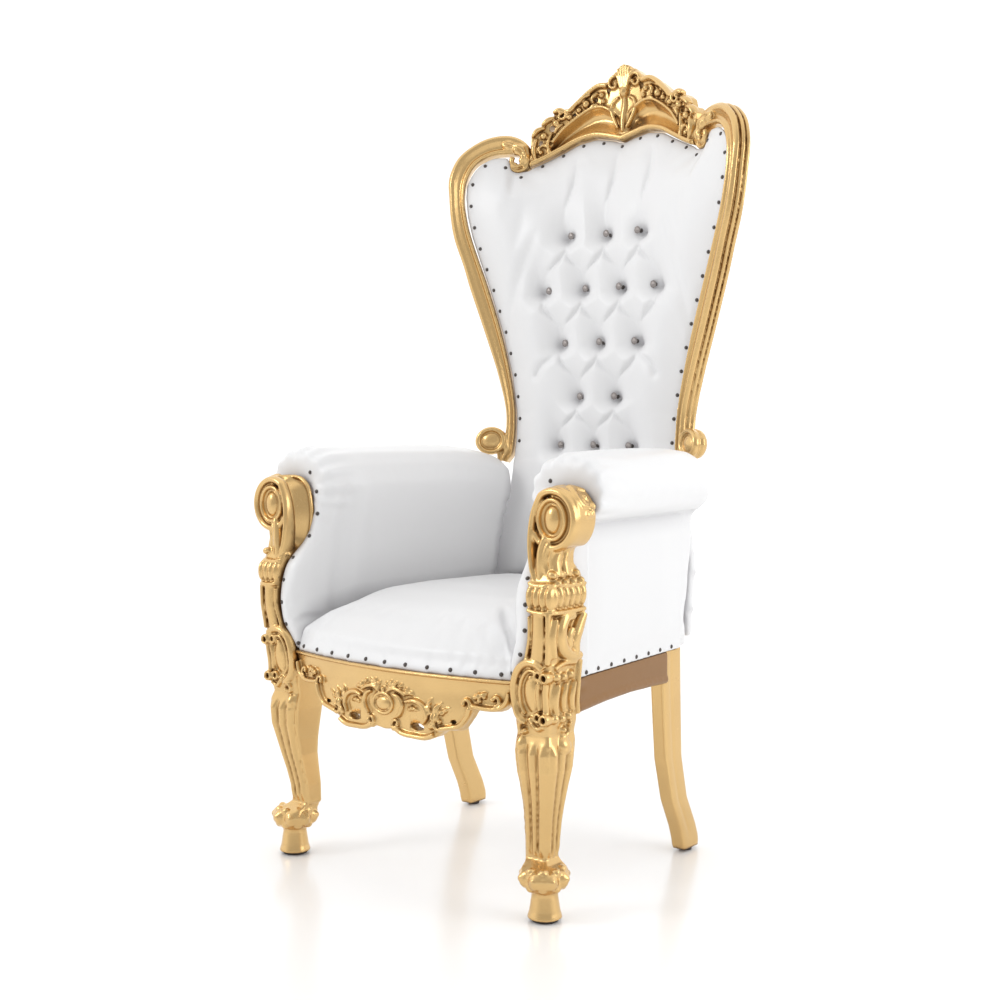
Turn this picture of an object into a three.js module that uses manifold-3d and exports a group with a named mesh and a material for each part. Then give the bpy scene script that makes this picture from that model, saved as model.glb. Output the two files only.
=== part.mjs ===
// High-backed carved throne: gilded wood frame, white leather upholstery.
// Millimetres, +Z up, sitter faces -Y, floor at Z = 0.
import * as THREE from 'three';
import { mergeVertices } from 'three/addons/utils/BufferGeometryUtils.js';
import Module from 'manifold-3d';

const wasm = await Module();
wasm.setup();
const { Manifold, CrossSection } = wasm;

// ---- driving dimensions -------------------------------------------------
const FOOT_X = 347;             // front feet, half spacing
const REAR_X = 308;             // rear legs, half spacing of their centres
const SEAT_BOTTOM = 461;        // underside of the seat upholstery
const RAIL_LOW = 395;           // underside of the seat rails
const BACK_Y = 682;             // front of the back frame at Z = 900, X = 0
const BACK_LEAN = 0.0954;       // rise of Y with Z
const BACK_HOLLOW = 0.000969;   // how much the back wraps round the sitter
const STILE_DEPTH = 37;         // thickness of the gilded back frame
const ARM_TAPER = 0.108;        // the sides close in towards the rear
const ARM_FRONT = 60;           // front end of the side panels
const SCROLL_X = 383, SCROLL_Z = 770;   // arm scroll centre
const GLIDE_H = 6;              // dark pads under the feet
const SIDE = -1;                // paired pieces are drawn on the left, then mirrored
const GAP = 0.4;                // clearance where two pieces meet

// ---- materials ----------------------------------------------------------
const finish = (color, roughness, metalness) => () =>
  new THREE.MeshStandardMaterial({ color, roughness, metalness });
const gilt = finish('#d9ad66', 0.35, 0.6);
const giltDark = finish('#9c7440', 0.45, 0.5);
const leather = finish('#f2f1ef', 0.45, 0);
const steel = finish('#6b625e', 0.3, 0.8);
const rubber = finish('#4a4038', 0.7, 0);

// ---- small helpers ------------------------------------------------------
const lerp = (a, b, t) => a + (b - a) * t;
const clamp = (v, a = 0, b = 1) => Math.min(b, Math.max(a, v));
const smooth = (a, b, v) => { const t = clamp((v - a) / (b - a)); return t * t * (3 - 2 * t); };
const bump = (v, c, w) => Math.exp(-(((v - c) / w) ** 2));

// straight-line table lookup: rows are [key, value, value...]
function table(rows, key) {
  let i = 0;
  while (i < rows.length - 2 && key > rows[i + 1][0]) i++;
  const t = clamp((key - rows[i][0]) / (rows[i + 1][0] - rows[i][0]));
  return rows[i].slice(1).map((a, k) => lerp(a, rows[i + 1][k + 1], t));
}

function solid(positions, index) {
  const g = new THREE.BufferGeometry();
  g.setAttribute('position', new THREE.Float32BufferAttribute(positions, 3));
  g.setIndex(index);
  return g;
}

// closed skin through rings of equal length, capped with fans
function loft(rings) {
  const n = rings[0].length, pos = [], idx = [];
  rings.forEach(r => r.forEach(p => pos.push(...p)));
  for (let k = 0; k < rings.length - 1; k++)
    for (let i = 0; i < n; i++) {
      const a = k * n + i, b = k * n + (i + 1) % n;
      idx.push(a, b, b + n, a, b + n, a + n);
    }
  for (const [k, flip] of [[0, true], [rings.length - 1, false]]) {
    const c = [0, 1, 2].map(j => rings[k].reduce((s, p) => s + p[j], 0) / n);
    const ci = pos.length / 3;
    pos.push(...c);
    for (let i = 0; i < n; i++) {
      const a = k * n + i, b = k * n + (i + 1) % n;
      idx.push(...(flip ? [ci, b, a] : [ci, a, b]));
    }
  }
  return solid(pos, idx);
}

function toManifold(geometry) {
  const g = geometry.clone();
  g.deleteAttribute('normal');
  g.deleteAttribute('uv');
  const m = mergeVertices(g, 1e-4);
  const body = new Manifold(new wasm.Mesh({
    numProp: 3,
    vertProperties: new Float32Array(m.attributes.position.array),
    triVerts: new Uint32Array(m.index.array),
  }));
  if (body.volume() < 0) throw new Error('inside-out solid');
  return body;
}

function fromManifold(body) {
  const m = body.getMesh();
  return solid(Array.from(m.vertProperties), Array.from(m.triVerts));
}

const ball = (x, y, z, rx, ry, rz, seg = 8) =>
  Manifold.sphere(1, seg).scale([rx, ry, rz]).translate([x, y, z]);

// round bar through points, radius may change along it
function bar(points, radius, seg = 4) {
  const curve = new THREE.CatmullRomCurve3(points.map(p => new THREE.Vector3(...p)));
  const n = Math.max(4, points.length - 1);
  const rings = [];
  let side = null;
  for (let k = 0; k <= n; k++) {
    const p = curve.getPoint(k / n), t = curve.getTangent(k / n);
    const ref = Math.abs(t.y) < 0.9 ? new THREE.Vector3(0, 1, 0) : new THREE.Vector3(1, 0, 0);
    side = new THREE.Vector3().crossVectors(ref, t).normalize();
    const up = new THREE.Vector3().crossVectors(t, side).normalize();
    const r = radius(k / n), ring = [];
    for (let i = 0; i < seg; i++) {
      const a = (i + 0.5) / seg * 2 * Math.PI;
      ring.push(p.clone().addScaledVector(side, r * Math.cos(a))
        .addScaledVector(up, r * Math.sin(a)).toArray());
    }
    rings.push(ring);
  }
  return toManifold(loft(rings));
}

// ---- back surface -------------------------------------------------------
// point on the wrapped, leaning back; t is measured behind its front face
function onBack(x, z, t) {
  const h = z - 900;
  const y = BACK_Y + BACK_LEAN * h + 4.4e-6 * h * h - BACK_HOLLOW * x * x;
  const nx = 2 * BACK_HOLLOW * x, nz = -BACK_LEAN, len = Math.hypot(nx, 1, nz);
  return [x + nx / len * t, y + t / len, z + nz / len * t];
}
const bendBack = body => body.warp(v => {
  const p = onBack(v[0], v[2], v[1]);
  v[0] = p[0]; v[1] = p[1]; v[2] = p[2];
});

// inner and outer edge of the gilded stile, by height
const STILE = [
  [850, 246, 262], [880, 234, 256], [900, 232, 251], [966, 234, 255], [1060, 250, 277],
  [1162, 276, 310], [1276, 312, 348], [1337, 333, 366], [1402, 354, 387], [1453, 366, 397],
  [1500, 372, 402], [1545, 369, 405],
];
// crest outline, half: [x, z] along the bottom and the top edge
const CREST_LOW = [[0, 1616], [30, 1625], [75, 1633], [120, 1625], [160, 1605], [200, 1587], [233, 1573]];
const CREST_TOP = [
  [0, 1800], [22, 1794], [44, 1776], [56, 1762], [92, 1754], [121, 1731], [148, 1706],
  [160, 1697], [180, 1706], [196, 1694], [203, 1675], [222, 1668], [236, 1652],
];

function cushionHalfWidth(z) {
  if (z < 850) return lerp(262, 236, smooth(600, 850, z));
  return z < 1500 ? table(STILE, Math.max(z, 880))[0] : 372;
}
function cushionTop(x) {
  const a = Math.abs(x);
  if (a < 225) return table(CREST_LOW, a)[0];
  if (a < 288) return 1551 + 23 * (1 - smooth(225, 238, a));   // dips under the curl of the stile
  if (a < 306) return lerp(1551, 1602, smooth(288, 305, a));
  return 1603 - 105 * (1 - Math.sqrt(1 - clamp((a - 305) / 68) ** 2));
}

// ---- front upright: cabriole leg, knee and arm post ----------------------
// [z, x inner, x outer, y front, y rear, corner sharpness]
const POST = [
  [GLIDE_H, 314, 380, -33, 33, 0], [20, 317, 377, -30, 30, 0], [56, 321, 373, -26, 26, 0],
  [62, 320, 376, -29, 27, 0.2], [80, 303, 388, -42, 42, 0.3], [96, 302, 386, -40, 43, 0.3],
  [104, 308, 368, -21, 37, 0.5], [112, 302, 352, -5, 40, 0.7], [155, 302, 355, -8, 40, 0.9],
  [190, 305, 361, -14, 38, 1], [224, 308, 369, -22, 37, 1], [259, 308, 378, -31, 39, 1],
  [293, 304, 386, -39, 43, 1], [327, 301, 388, -41, 47, 1], [345, 301, 384, -37, 52, 1],
  [362, 301, 378, -31, 55, 1], [385, 301, 388, -41, 56, 1], [417, 301, 385, -38, 56, 1],
  [450, 302, 391, -44, 55, 1], [487, 313, 391, -44, 55, 1], [515, 335, 393, -46, 55, 1],
  [550, 344, 398, -51, 60, 1], [588, 345, 398, -51, 60, 1], [596, 338, 405, -58, 64, 1],
  [606, 337, 403, -56, 62, 1], [640, 336, 402, -55, 62, 1], [664, 333, 394, -46, 58, 1],
  [700, 333, 388, -38, 34, 1], [735, 334, 390, -28, 34, 1],
];

// where the shape of the section needs finer steps
const POST_LEVELS = [6, 20, 56, 64, 80, 98, 110, 155, 205, 259, 300, 327, 345, 362,
  380, 398, 430, 460, 487, 515, 588, 596, 608, 640, 664, 700, 735];

// relief of the carved faces: s runs -1..1 across a face, out is +
function carving(z, s, outerFace) {
  let r = 0;
  const flute = Math.cos(s * Math.PI * 3.5);
  r += 3 * flute * smooth(120, 150, z) * (1 - smooth(285, 320, z));            // reeded shank
  r += 5 * flute * smooth(604, 616, z) * (1 - smooth(640, 660, z));            // lobed collar
  r += 6 * Math.cos(s * Math.PI * 2) * smooth(660, 685, z);                    // long leaves
  r += -4 * bump(Math.abs(s), 0, 0.5) * smooth(515, 530, z) * (1 - smooth(575, 590, z));
  const ring = Math.hypot((z - 415) / 62, Math.abs(s) - 0.35) / 0.62;
  if (z > 345 && z < 510) r += 7 * bump(ring, 0.8, 0.28) - 4 * bump(ring, 0, 0.35); // knee scroll
  if (outerFace) r += 8 * bump(s, 0.2, 0.5) * (bump(z, 545, 18) + bump(z, 690, 20));
  return r;
}

function postSection(z) {
  const [x0, x1, y0, y1, sharp] = table(POST, z);
  const cx = (x0 + x1) / 2, cy = (y0 + y1) / 2, hx = (x1 - x0) / 2, hy = (y1 - y0) / 2;
  const n = 20, ring = [];
  const power = lerp(2, 7, sharp);
  for (let i = 0; i < n; i++) {
    const a = (i + 0.5) / n * 2 * Math.PI - 3 * Math.PI / 4;
    const c = Math.cos(a), s = Math.sin(a);
    const k = (Math.abs(c) ** power + Math.abs(s) ** power) ** (-1 / power);
    let x = c * k, y = s * k;
    const front = y < -0.7 * Math.abs(x) - 0.2, outer = x > 0.7 * Math.abs(y) + 0.2;
    const r = sharp > 0.3 && (front || outer) ? carving(z, front ? x : -y, outer) : 0;
    const px = cx + x * hx + (outer ? r : 0), py = cy + y * hy - (front ? r : 0);
    ring.push([SIDE * px, py, z]);
  }
  return ring.reverse();
}

// front view of the scrolled head of the arm post: [x, z], outer foot first
const HEAD = [[388, 668], [388, 704], [400, 716], [420, 722], [434, 742], [441, 770], [437, 798],
  [420, 820], [390, 832], [356, 830], [330, 812], [316, 778], [312, 740], [318, 702], [330, 668]];
const HEAD_FRONT = -24, HEAD_REAR = 35;

// head under the arm: rolled block with a hollow inner cheek and a ringed eye on its face
function armScroll() {
  const block = Manifold.extrude(new CrossSection([HEAD]), HEAD_REAR - HEAD_FRONT)
    .rotate([90, 0, 0]).translate([0, HEAD_REAR, 0]);
  const eye = [[0, -13], [18, -12], [24, -8], [29, -1], [34, -1], [39, -10], [44, -11], [49, -4],
    [50, 4], [0, 4]];
  const wheel = Manifold.revolve(new CrossSection([eye.map(([r, y]) => [r, -y]).reverse()]), 16)
    .rotate([90, 0, 0]).scale([0.92, 1, 1]).translate([SCROLL_X, HEAD_FRONT, SCROLL_Z]);
  const cheek = bar([[350, -36, 850], [316, -28, 812], [300, -22, 765], [300, -22, 715],
    [314, -30, 660]], t => 20 + 10 * Math.sin(Math.PI * t), 6);
  const head = Manifold.union(block.subtract(cheek), wheel);
  return head.mirror([1, 0, 0]);
}

function footCurls() {
  const out = [];
  for (const [dx, dy] of [[34, -34], [-24, -36], [36, 24]])
    out.push(ball(SIDE * (FOOT_X + dx), dy, 82, 17, 17, 17, 6));
  return out;
}

function frontUpright() {
  const body = toManifold(loft(POST_LEVELS.map(z => postSection(z))));
  const corner = (z, d) => ball(SIDE * (FOOT_X + d), -d, z, 11, 11, 13, 6);
  const parts = [body, armScroll(), ...footCurls(), corner(500, 46), corner(398, 40)];
  return fromManifold(Manifold.union(parts).simplify(2));
}

// ---- rear legs ------------------------------------------------------------
function rearLeg() {
  const rows = [[GLIDE_H, 533, 597], [60, 517, 582], [125, 484, 547], [220, 458, 524],
    [300, 450, 521], [380, 443, 518], [SEAT_BOTTOM - GAP, 441, 516]];
  const rings = rows.map(([z, y0, y1]) => {
    const c = 5, x0 = REAR_X - 17, x1 = REAR_X + 17;
    const r = [[x0 + c, y0], [x1 - c, y0], [x1, y0 + c], [x1, y1 - c], [x1 - c, y1],
      [x0 + c, y1], [x0, y1 - c], [x0, y0 + c]].map(([x, y]) => [SIDE * x, y, z]);
    return r.reverse();
  });
  return loft(rings);
}

const glide = (x, y, r) => fromManifold(
  Manifold.cylinder(GLIDE_H - GAP, r - 2, r, 10).translate([x, y, 0]));

// ---- seat frame -------------------------------------------------------------
const bow = x => 44 * (1 - (Math.min(Math.abs(x), 300) / 300) ** 2);
const bendApron = body => body.warp(v => { v[1] -= bow(v[0]); });

function apronOutline() {
  const low = [[0, 334], [30, 338], [52, 328], [80, 326], [108, 326], [130, 334], [150, 350],
    [185, 352], [205, 380], [215, 397], [250, 395], [270, 397], [285, 412], [299, 410]];
  const right = [...low, [299, SEAT_BOTTOM - 6]];
  return [...right, [150, SEAT_BOTTOM - 4], [-150, SEAT_BOTTOM - 4],
    ...right.slice().reverse().filter(p => p[0] > 0).map(([x, z]) => [-x, z])];
}

// flat board standing in the XZ plane: outline and holes, front face at y0
function board(outline, holes, y0, depth) {
  return Manifold.extrude(new CrossSection([outline, ...holes]), depth)
    .rotate([90, 0, 0]).translate([0, y0 + depth, 0]);
}

function frontApron() {
  const holes = [];
  for (const s of [-1, 1]) {
    const h = [[s * 64, 352], [s * 88, 346], [s * 92, 362], [s * 72, 372]];
    holes.push(s > 0 ? h.reverse() : h);
  }
  const parts = [board(apronOutline(), holes, -34, 26).refineToLength(100)];
  parts.push(ball(0, -36, 388, 31, 12, 22, 12));                         // oval cartouche
  for (const s of [-1, 1]) {
    const at = pts => pts.map(([x, z]) => [s * x, -36, z]);
    parts.push(bar(at([[30, 412], [52, 400], [56, 372], [36, 352], [12, 346]]), () => 8));
    parts.push(bar(at([[74, 392], [104, 384], [122, 362], [112, 340], [88, 336]]), () => 8));
    parts.push(bar(at([[134, 360], [170, 366], [192, 384], [200, 402], [180, 410]]), () => 8));
    parts.push(bar(at([[216, 406], [250, 414], [282, 424], [292, 440]]), t => 9 - 3 * t));
    parts.push(bar(at([[20, 446], [90, 446], [180, 446], [292, 446]]), () => 6));
    for (const [x, z, r] of [[36, 426, 9], [62, 426, 8], [146, 424, 9], [236, 436, 8]])
      parts.push(ball(s * x, -36, z, r, 7, r, 6));
  }
  return fromManifold(bendApron(Manifold.union(parts)).simplify(3));
}

const sideX = y => 380 - ARM_TAPER * (y - ARM_FRONT);

function sideRail() {
  const rings = [];
  for (const y of [64, 170, 280, 380, 440]) {
    const low = RAIL_LOW + 7 * Math.sin(Math.PI * (y - 64) / 376) - 3;
    const x1 = sideX(y) + 3, x0 = x1 - 28;
    const r = [[x0, low], [x1 - 6, low], [x1, low + 6], [x1, low + 14], [x1 - 3, low + 18],
      [x1 - 3, SEAT_BOTTOM - 6 - GAP], [x1 - 6, SEAT_BOTTOM - GAP], [x0, SEAT_BOTTOM - GAP]];
    rings.push(r.map(([x, z]) => [SIDE * x, y, z]));
  }
  return loft(rings);
}

function rearRail() {
  const rings = [], half = REAR_X - 17 - GAP;
  for (let i = 0; i <= 10; i++) {
    const x = lerp(-half, half, i / 10);
    const y = lerp(620, 480, (x / half) ** 2);
    rings.push([[x, y, RAIL_LOW], [x, y + 30, RAIL_LOW], [x, y + 30, SEAT_BOTTOM - GAP],
      [x, y, SEAT_BOTTOM - GAP]]);
  }
  return loft(rings);
}

// ---- gilded back frame ----------------------------------------------------
// path of a stile: [x centre, z, half width], up the side, over the shoulder, into its curl
function stilePath() {
  const path = STILE.filter((r, i) => i !== 2).map(([z, a, b]) => [(a + b) / 2, z, (b - a) / 2]);
  path.push([374, 1586, 20], [352, 1611, 21], [322, 1627, 23], [288, 1630, 23], [261, 1621, 18]);
  path.push([248, 1603, 13], [246, 1584, 11], [256, 1571, 10], [270, 1572, 9], [274, 1584, 8]);
  return path;
}

function backStile() {
  const path = stilePath(), rings = [];
  path.forEach(([x, z, w], i) => {
    const a = path[Math.max(0, i - 1)], b = path[Math.min(path.length - 1, i + 1)];
    const len = Math.hypot(b[0] - a[0], b[1] - a[1]);
    const ox = (b[1] - a[1]) / len, oz = -(b[0] - a[0]) / len;      // towards the outer edge
    const d = STILE_DEPTH * (i < 1 ? 0.5 : 1);
    const sec = [[-1, 3], [-0.7, -1], [0.7, -1], [1.03, 7], [0.78, 0.36 * d], [1.03, 0.52 * d],
      [0.8, 0.72 * d], [0.95, d], [-1, d]];
    rings.push(sec.map(([u, t]) => [SIDE * (x + ox * u * w), t, z + oz * u * w]));
  });
  rings.forEach(r => r.reverse());
  const band = toManifold(loft(rings));
  const disc = Manifold.cylinder(30, 34, 34, 14).rotate([-90, 0, 0]).translate([SIDE * 284, 2, 900])
    .add(Manifold.cylinder(8, 22, 24, 10).rotate([-90, 0, 0]).translate([SIDE * 284, -4, 900]))
    .add(ball(SIDE * 268, 16, 872, 10, 12, 24, 6));
  const eye = ball(SIDE * 262, 14, 1588, 12, 20, 12, 6);
  return fromManifold(bendBack(Manifold.union([band, disc, eye])).simplify(1.1));
}

function crestRail() {
  const outline = [];
  CREST_LOW.slice().reverse().forEach(([x, z]) => outline.push([-x, z + GAP]));
  CREST_LOW.slice(1).forEach(([x, z]) => outline.push([x, z + GAP]));
  CREST_TOP.slice().reverse().forEach(([x, z]) => outline.push([x, z - 3]));
  CREST_TOP.slice(1).forEach(([x, z]) => outline.push([-x, z - 3]));
  const holes = [];
  for (const s of [-1, 1])
    for (const [x, z, r] of [[40, 1748, 9], [84, 1733, 8], [192, 1662, 9], [214, 1634, 7]])
      holes.push([0, 1, 2, 3, 4].map(i => {
        const a = i / 5 * 2 * Math.PI;
        return [s * x + r * Math.cos(a), z + r * Math.sin(a)];
      }));
  const parts = [board(outline, holes, 4, 30).refineToLength(90)];
  const y = 2;
  parts.push(ball(0, y, 1753, 26, 12, 48, 10), ball(0, y - 4, 1706, 20, 14, 17, 8));  // shell
  for (const s of [-1, 1]) {
    const at = pts => pts.map(([x, z]) => [s * x, y, z]);
    parts.push(bar(at([[10, 1786], [34, 1772], [52, 1750], [48, 1722], [30, 1694], [26, 1660]]), () => 8));
    parts.push(bar(at([[54, 1752], [92, 1744], [124, 1720], [152, 1694]]), t => 9 - 2 * t));
    parts.push(bar(at([[54, 1700], [84, 1698], [124, 1682], [164, 1652], [186, 1622]]), () => 6));
    parts.push(bar(at([[14, 1628], [75, 1640], [122, 1633], [165, 1611], [228, 1582]]), () => 6));
    parts.push(bar(at([[228, 1648], [204, 1640], [184, 1620], [190, 1600], [208, 1598]]), t => 10 - 3 * t));
    for (const [x, z, r] of [[70, 1718, 9], [104, 1712, 11], [132, 1700, 9], [176, 1696, 13],
      [162, 1674, 10], [214, 1660, 11], [150, 1676, 8]])
      parts.push(ball(s * x, y, z, r, 11, r, 8));
  }
  return fromManifold(bendBack(Manifold.union(parts)).simplify(3.8));
}

// ---- upholstery ------------------------------------------------------------
const BUTTONS = [[1388, [-104, 0, 104]], [1260, [-160, -53, 53, 160]], [1132, [-107, 0, 107]],
  [1004, [-53, 53]], [889, [-104, 0, 104]]];

// how far the stuffing stands in front of the frame
const stuffing = edge => 44 * smooth(0, 90, edge) + 16 * smooth(90, 260, edge);

// matching grids of [x, z] filling the heart-shaped opening from z0 up, held back by inset
const COLS = 12, ROWS = 13;
function openingGrid(z0, inset, halfWidth) {
  const grid = [];
  for (let j = 0; j <= ROWS; j++)
    for (let i = 0; i <= COLS; i++) {
      const u = Math.sin((i / COLS - 0.5) * Math.PI * 0.8) / Math.sin(0.4 * Math.PI);
      let z = lerp(z0, 1600, j / ROWS), x = 0;
      for (let k = 0; k < 12; k++) {
        x = u * (halfWidth(z) - inset);
        z = lerp(z0, cushionTop(x) - inset, j / ROWS);
      }
      grid.push([x, z]);
    }
  return grid;
}
const edgeDistance = (x, z) =>
  Math.min(cushionHalfWidth(z) - Math.abs(x), cushionTop(x) - z, 2 * (z - 572) + 80);
const TUFT = 22;                // how deep a button pulls the leather in

function backCushion() {
  const grid = openingGrid(572, 3, cushionHalfWidth);
  for (const [bz, xs] of BUTTONS) for (const bx of xs) {
    let best = null, least = 1e9;
    for (const p of grid) {
      const d = Math.hypot(p[0] - bx, p[1] - bz);
      if (d < least) { least = d; best = p; }
    }
    best[0] = bx; best[1] = bz;
  }
  const front = grid.map(([x, z]) => {
    let t = 6 - stuffing(edgeDistance(x, z));
    for (const [bz, xs] of BUTTONS) for (const bx of xs)
      t += TUFT * bump(Math.hypot(x - bx, z - bz), 0, 30);
    return onBack(x, z, t);
  });
  const body = toManifold(slab(front, grid.map(([x, z]) => onBack(x, z, 10.5)), COLS, ROWS));
  const seats = BUTTONS.flatMap(([z, xs]) => xs.map(x => buttonShape(x, z, GAP)));
  return fromManifold(body.subtract(Manifold.union(seats)));
}

// closed slab between two matching grids (front faces -Y)
function slab(front, back, cols, rows) {
  const pos = [...front, ...back].flat(), idx = [], n = front.length, w = cols + 1;
  for (let j = 0; j < rows; j++)
    for (let i = 0; i < cols; i++) {
      const a = j * w + i, b = a + 1, c = a + w, d = c + 1;
      idx.push(a, b, d, a, d, c, n + a, n + d, n + b, n + a, n + c, n + d);
    }
  const rim = [];
  for (let i = 0; i < cols; i++) rim.push(i);
  for (let j = 0; j < rows; j++) rim.push(j * w + cols);
  for (let i = cols; i > 0; i--) rim.push(rows * w + i);
  for (let j = rows; j > 0; j--) rim.push(j * w);
  rim.forEach((a, k) => {
    const b = rim[(k + 1) % rim.length];
    idx.push(a, n + a, n + b, a, n + b, b);
  });
  return solid(pos, idx);
}

function outsideBack() {
  const half = z => z < 846 ? lerp(292, 232, smooth(690, 760, z)) : cushionHalfWidth(z);
  const grid = openingGrid(SEAT_BOTTOM + 7, 4, half);
  const back = grid.map(([x, z], k) => {
    const u = Math.abs(x) / half(z), v = Math.floor(k / (COLS + 1)) / ROWS;
    const dome = 14 * (1 - u * u) * (1 - (2 * v - 1) ** 4);
    return onBack(x, z, 34 + Math.max(0, dome));
  });
  const panel = slab(grid.map(([x, z]) => onBack(x, z, 12.5)), back, COLS, ROWS);
  return fromManifold(toManifold(panel).simplify(1.6));
}

function seatCushion() {
  const cols = 10, rows = 7, top = [], low = [];
  for (let j = 0; j <= rows; j++)
    for (let i = 0; i <= cols; i++) {
      const u = 2 * i / cols - 1, v = (j / rows) ** 1.4;
      const half = Math.min(298, 293 - ARM_TAPER * (lerp(-34, 630, v) - ARM_FRONT));
      const x = u * half;
      const y = lerp(-32 - bow(x), onBack(x, 520, 6)[1], v);
      const nose = Math.sqrt(1 - (1 - clamp(v / 0.08)) ** 2);
      const sides = 1 - clamp((Math.abs(u) - 0.75) / 0.25) ** 2;
      const crown = 44 * Math.sin(Math.PI / 2 * clamp(v / 0.45)) * (0.4 + 0.6 * sides);
      const z = 506 + nose * (14 + 18 * sides) + crown - 14 * smooth(0.8, 1, v);
      top.push([x, y, z]);
      low.push([x, y, SEAT_BOTTOM]);
    }
  return slab(top, low, cols, rows);
}

// section of an arm, outer side first: [x, z] for the right arm at its front
const ARM = [[300, 461], [373, 461], [373, 764], [404, 764], [434, 778], [448, 806], [448, 842],
  [430, 878], [396, 897], [350, 899], [306, 886], [280, 856], [274, 818], [280, 770], [290, 700],
  [296, 600], [301, 520]];

// the pad starts against the post and ends against the wrapped back
function armPad() {
  const rings = [];
  for (const [v, k, drop] of [[0, 0.92, 24], [0.02, 0.98, 10], [0.07, 1, 2], [0.25, 1, 0], [0.5, 1, 0],
    [0.75, 1, 2], [0.9, 1, 10], [0.97, 0.98, 22], [1, 0.92, 34]])
    rings.push(ARM.map(([x, z]) => {
      const up = z > 770, near = HEAD_REAR + 1;
      let px = up ? 361 + (x - 361) * k : x;
      const pz = up ? z - drop * (z - 770) / 130 : z;
      let y = near;
      for (let n = 0; n < 4; n++) {
        const far = onBack(px - ARM_TAPER * (y - ARM_FRONT), Math.max(z, 560), -4)[1] - (up ? 12 : 6);
        y = lerp(near, far, v);
      }
      return [SIDE * (px - ARM_TAPER * (y - ARM_FRONT)), y, pz];
    }));
  // let round the back of the post
  const notch = (x, y, z0, z1) => Manifold.cube([130, 80, z1 - z0])
    .translate([-x - 130, y - 80, z0]);
  return fromManifold(toManifold(loft(rings))
    .subtract(Manifold.union(notch(299, 66, 440, 512), notch(331, 66, 500, 700)))
    .add(armFacing()));
}

// leather carried forward beside the post: [z, inner x, outer x, front y]
const FACING = [[513, 303, 330, -14], [550, 301, 336, -17], [600, 299, 334, -17],
  [640, 297, 333, -8], [660, 296, 327, 8]];
function armFacing() {
  return toManifold(loft(FACING.map(([z, x0, x1, y]) => {
    const lean = v => ARM_TAPER * (ARM_FRONT - v);
    return [[x0 + lean(80), 80], [x0 + lean(y + 14), y + 14], [x0 + lean(y) + 4, y + 4],
      [x0 + lean(y) + 13, y], [x1, y], [x1, 80]].map(([x, v]) => [SIDE * x, v, z]).reverse();
  })));
}

function sidePanel() {
  const rings = [];
  for (const y of [ARM_FRONT + 8, 180, 300, 400, 500]) {
    const x1 = sideX(y), x0 = 373 + GAP - ARM_TAPER * (y - ARM_FRONT);
    rings.push([[x0, SEAT_BOTTOM], [x1, SEAT_BOTTOM], [x1 + 2, 600], [x1, 763], [x0, 763]]
      .map(([x, z]) => [SIDE * x, y, z]));
  }
  return loft(rings);
}

function buttonShape(x, z, extra) {
  const p = onBack(x, z, 6 - stuffing(edgeDistance(x, z)) + TUFT - 12);
  return Manifold.sphere(1, 8).scale([9 + extra, 3.5 + extra, 9 + extra]).translate(p);
}
const button = (x, z) => fromManifold(buttonShape(x, z, 0));

// ---- assembly ---------------------------------------------------------------
const group = new THREE.Group();
const add = (name, geometry, material) => {
  const mesh = new THREE.Mesh(geometry, material());
  mesh.name = name;
  group.add(mesh);
};

function mirrorX(geometry) {
  const g = geometry.clone(), p = g.attributes.position, t = g.index.array;
  for (let i = 0; i < p.count; i++) p.setX(i, -p.getX(i));
  for (let i = 0; i < t.length; i += 3) [t[i + 1], t[i + 2]] = [t[i + 2], t[i + 1]];
  return g;
}

const pairs = [
  ['front_leg', frontUpright(), gilt], ['rear_leg', rearLeg(), gilt],
  ['front_glide', glide(SIDE * FOOT_X, 0, 27), rubber],
  ['rear_glide', glide(SIDE * REAR_X, 565, 14), rubber],
  ['side_rail', sideRail(), giltDark], ['back_stile', backStile(), gilt],
  ['arm_pad', armPad(), leather], ['side_panel', sidePanel(), leather],
];
for (const [name, geometry, material] of pairs) {
  add(`${name}_left`, geometry, material);
  add(`${name}_right`, mirrorX(geometry), material);
}
add('front_apron', frontApron(), gilt);
add('rear_rail', rearRail(), giltDark);
add('crest_rail', crestRail(), gilt);
add('back_cushion', backCushion(), leather);
add('outside_back', outsideBack(), leather);
add('seat_cushion', seatCushion(), leather);
let count = 0;
for (const [z, xs] of BUTTONS)
  for (const x of xs) add(`tuft_button_${String(++count).padStart(2, '0')}`, button(x, z), steel);

// the frame origin is the middle of the footprint, on the floor
const box = new THREE.Box3().setFromObject(group);
for (const mesh of group.children)
  mesh.geometry.translate(-(box.min.x + box.max.x) / 2, -(box.min.y + box.max.y) / 2, -box.min.z);

export default group;
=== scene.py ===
"""Carved and gilded high-backed throne, upholstered in white leather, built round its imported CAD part.

Lengths are in metres, but carved ornament and the tables of outlines are given in millimetres.  In the
pieces' own drawing frame the front feet stand on Y = 0, the sitter faces -Y and the floor is Z = 0;
FRONT_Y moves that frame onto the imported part.
"""
import math

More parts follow.
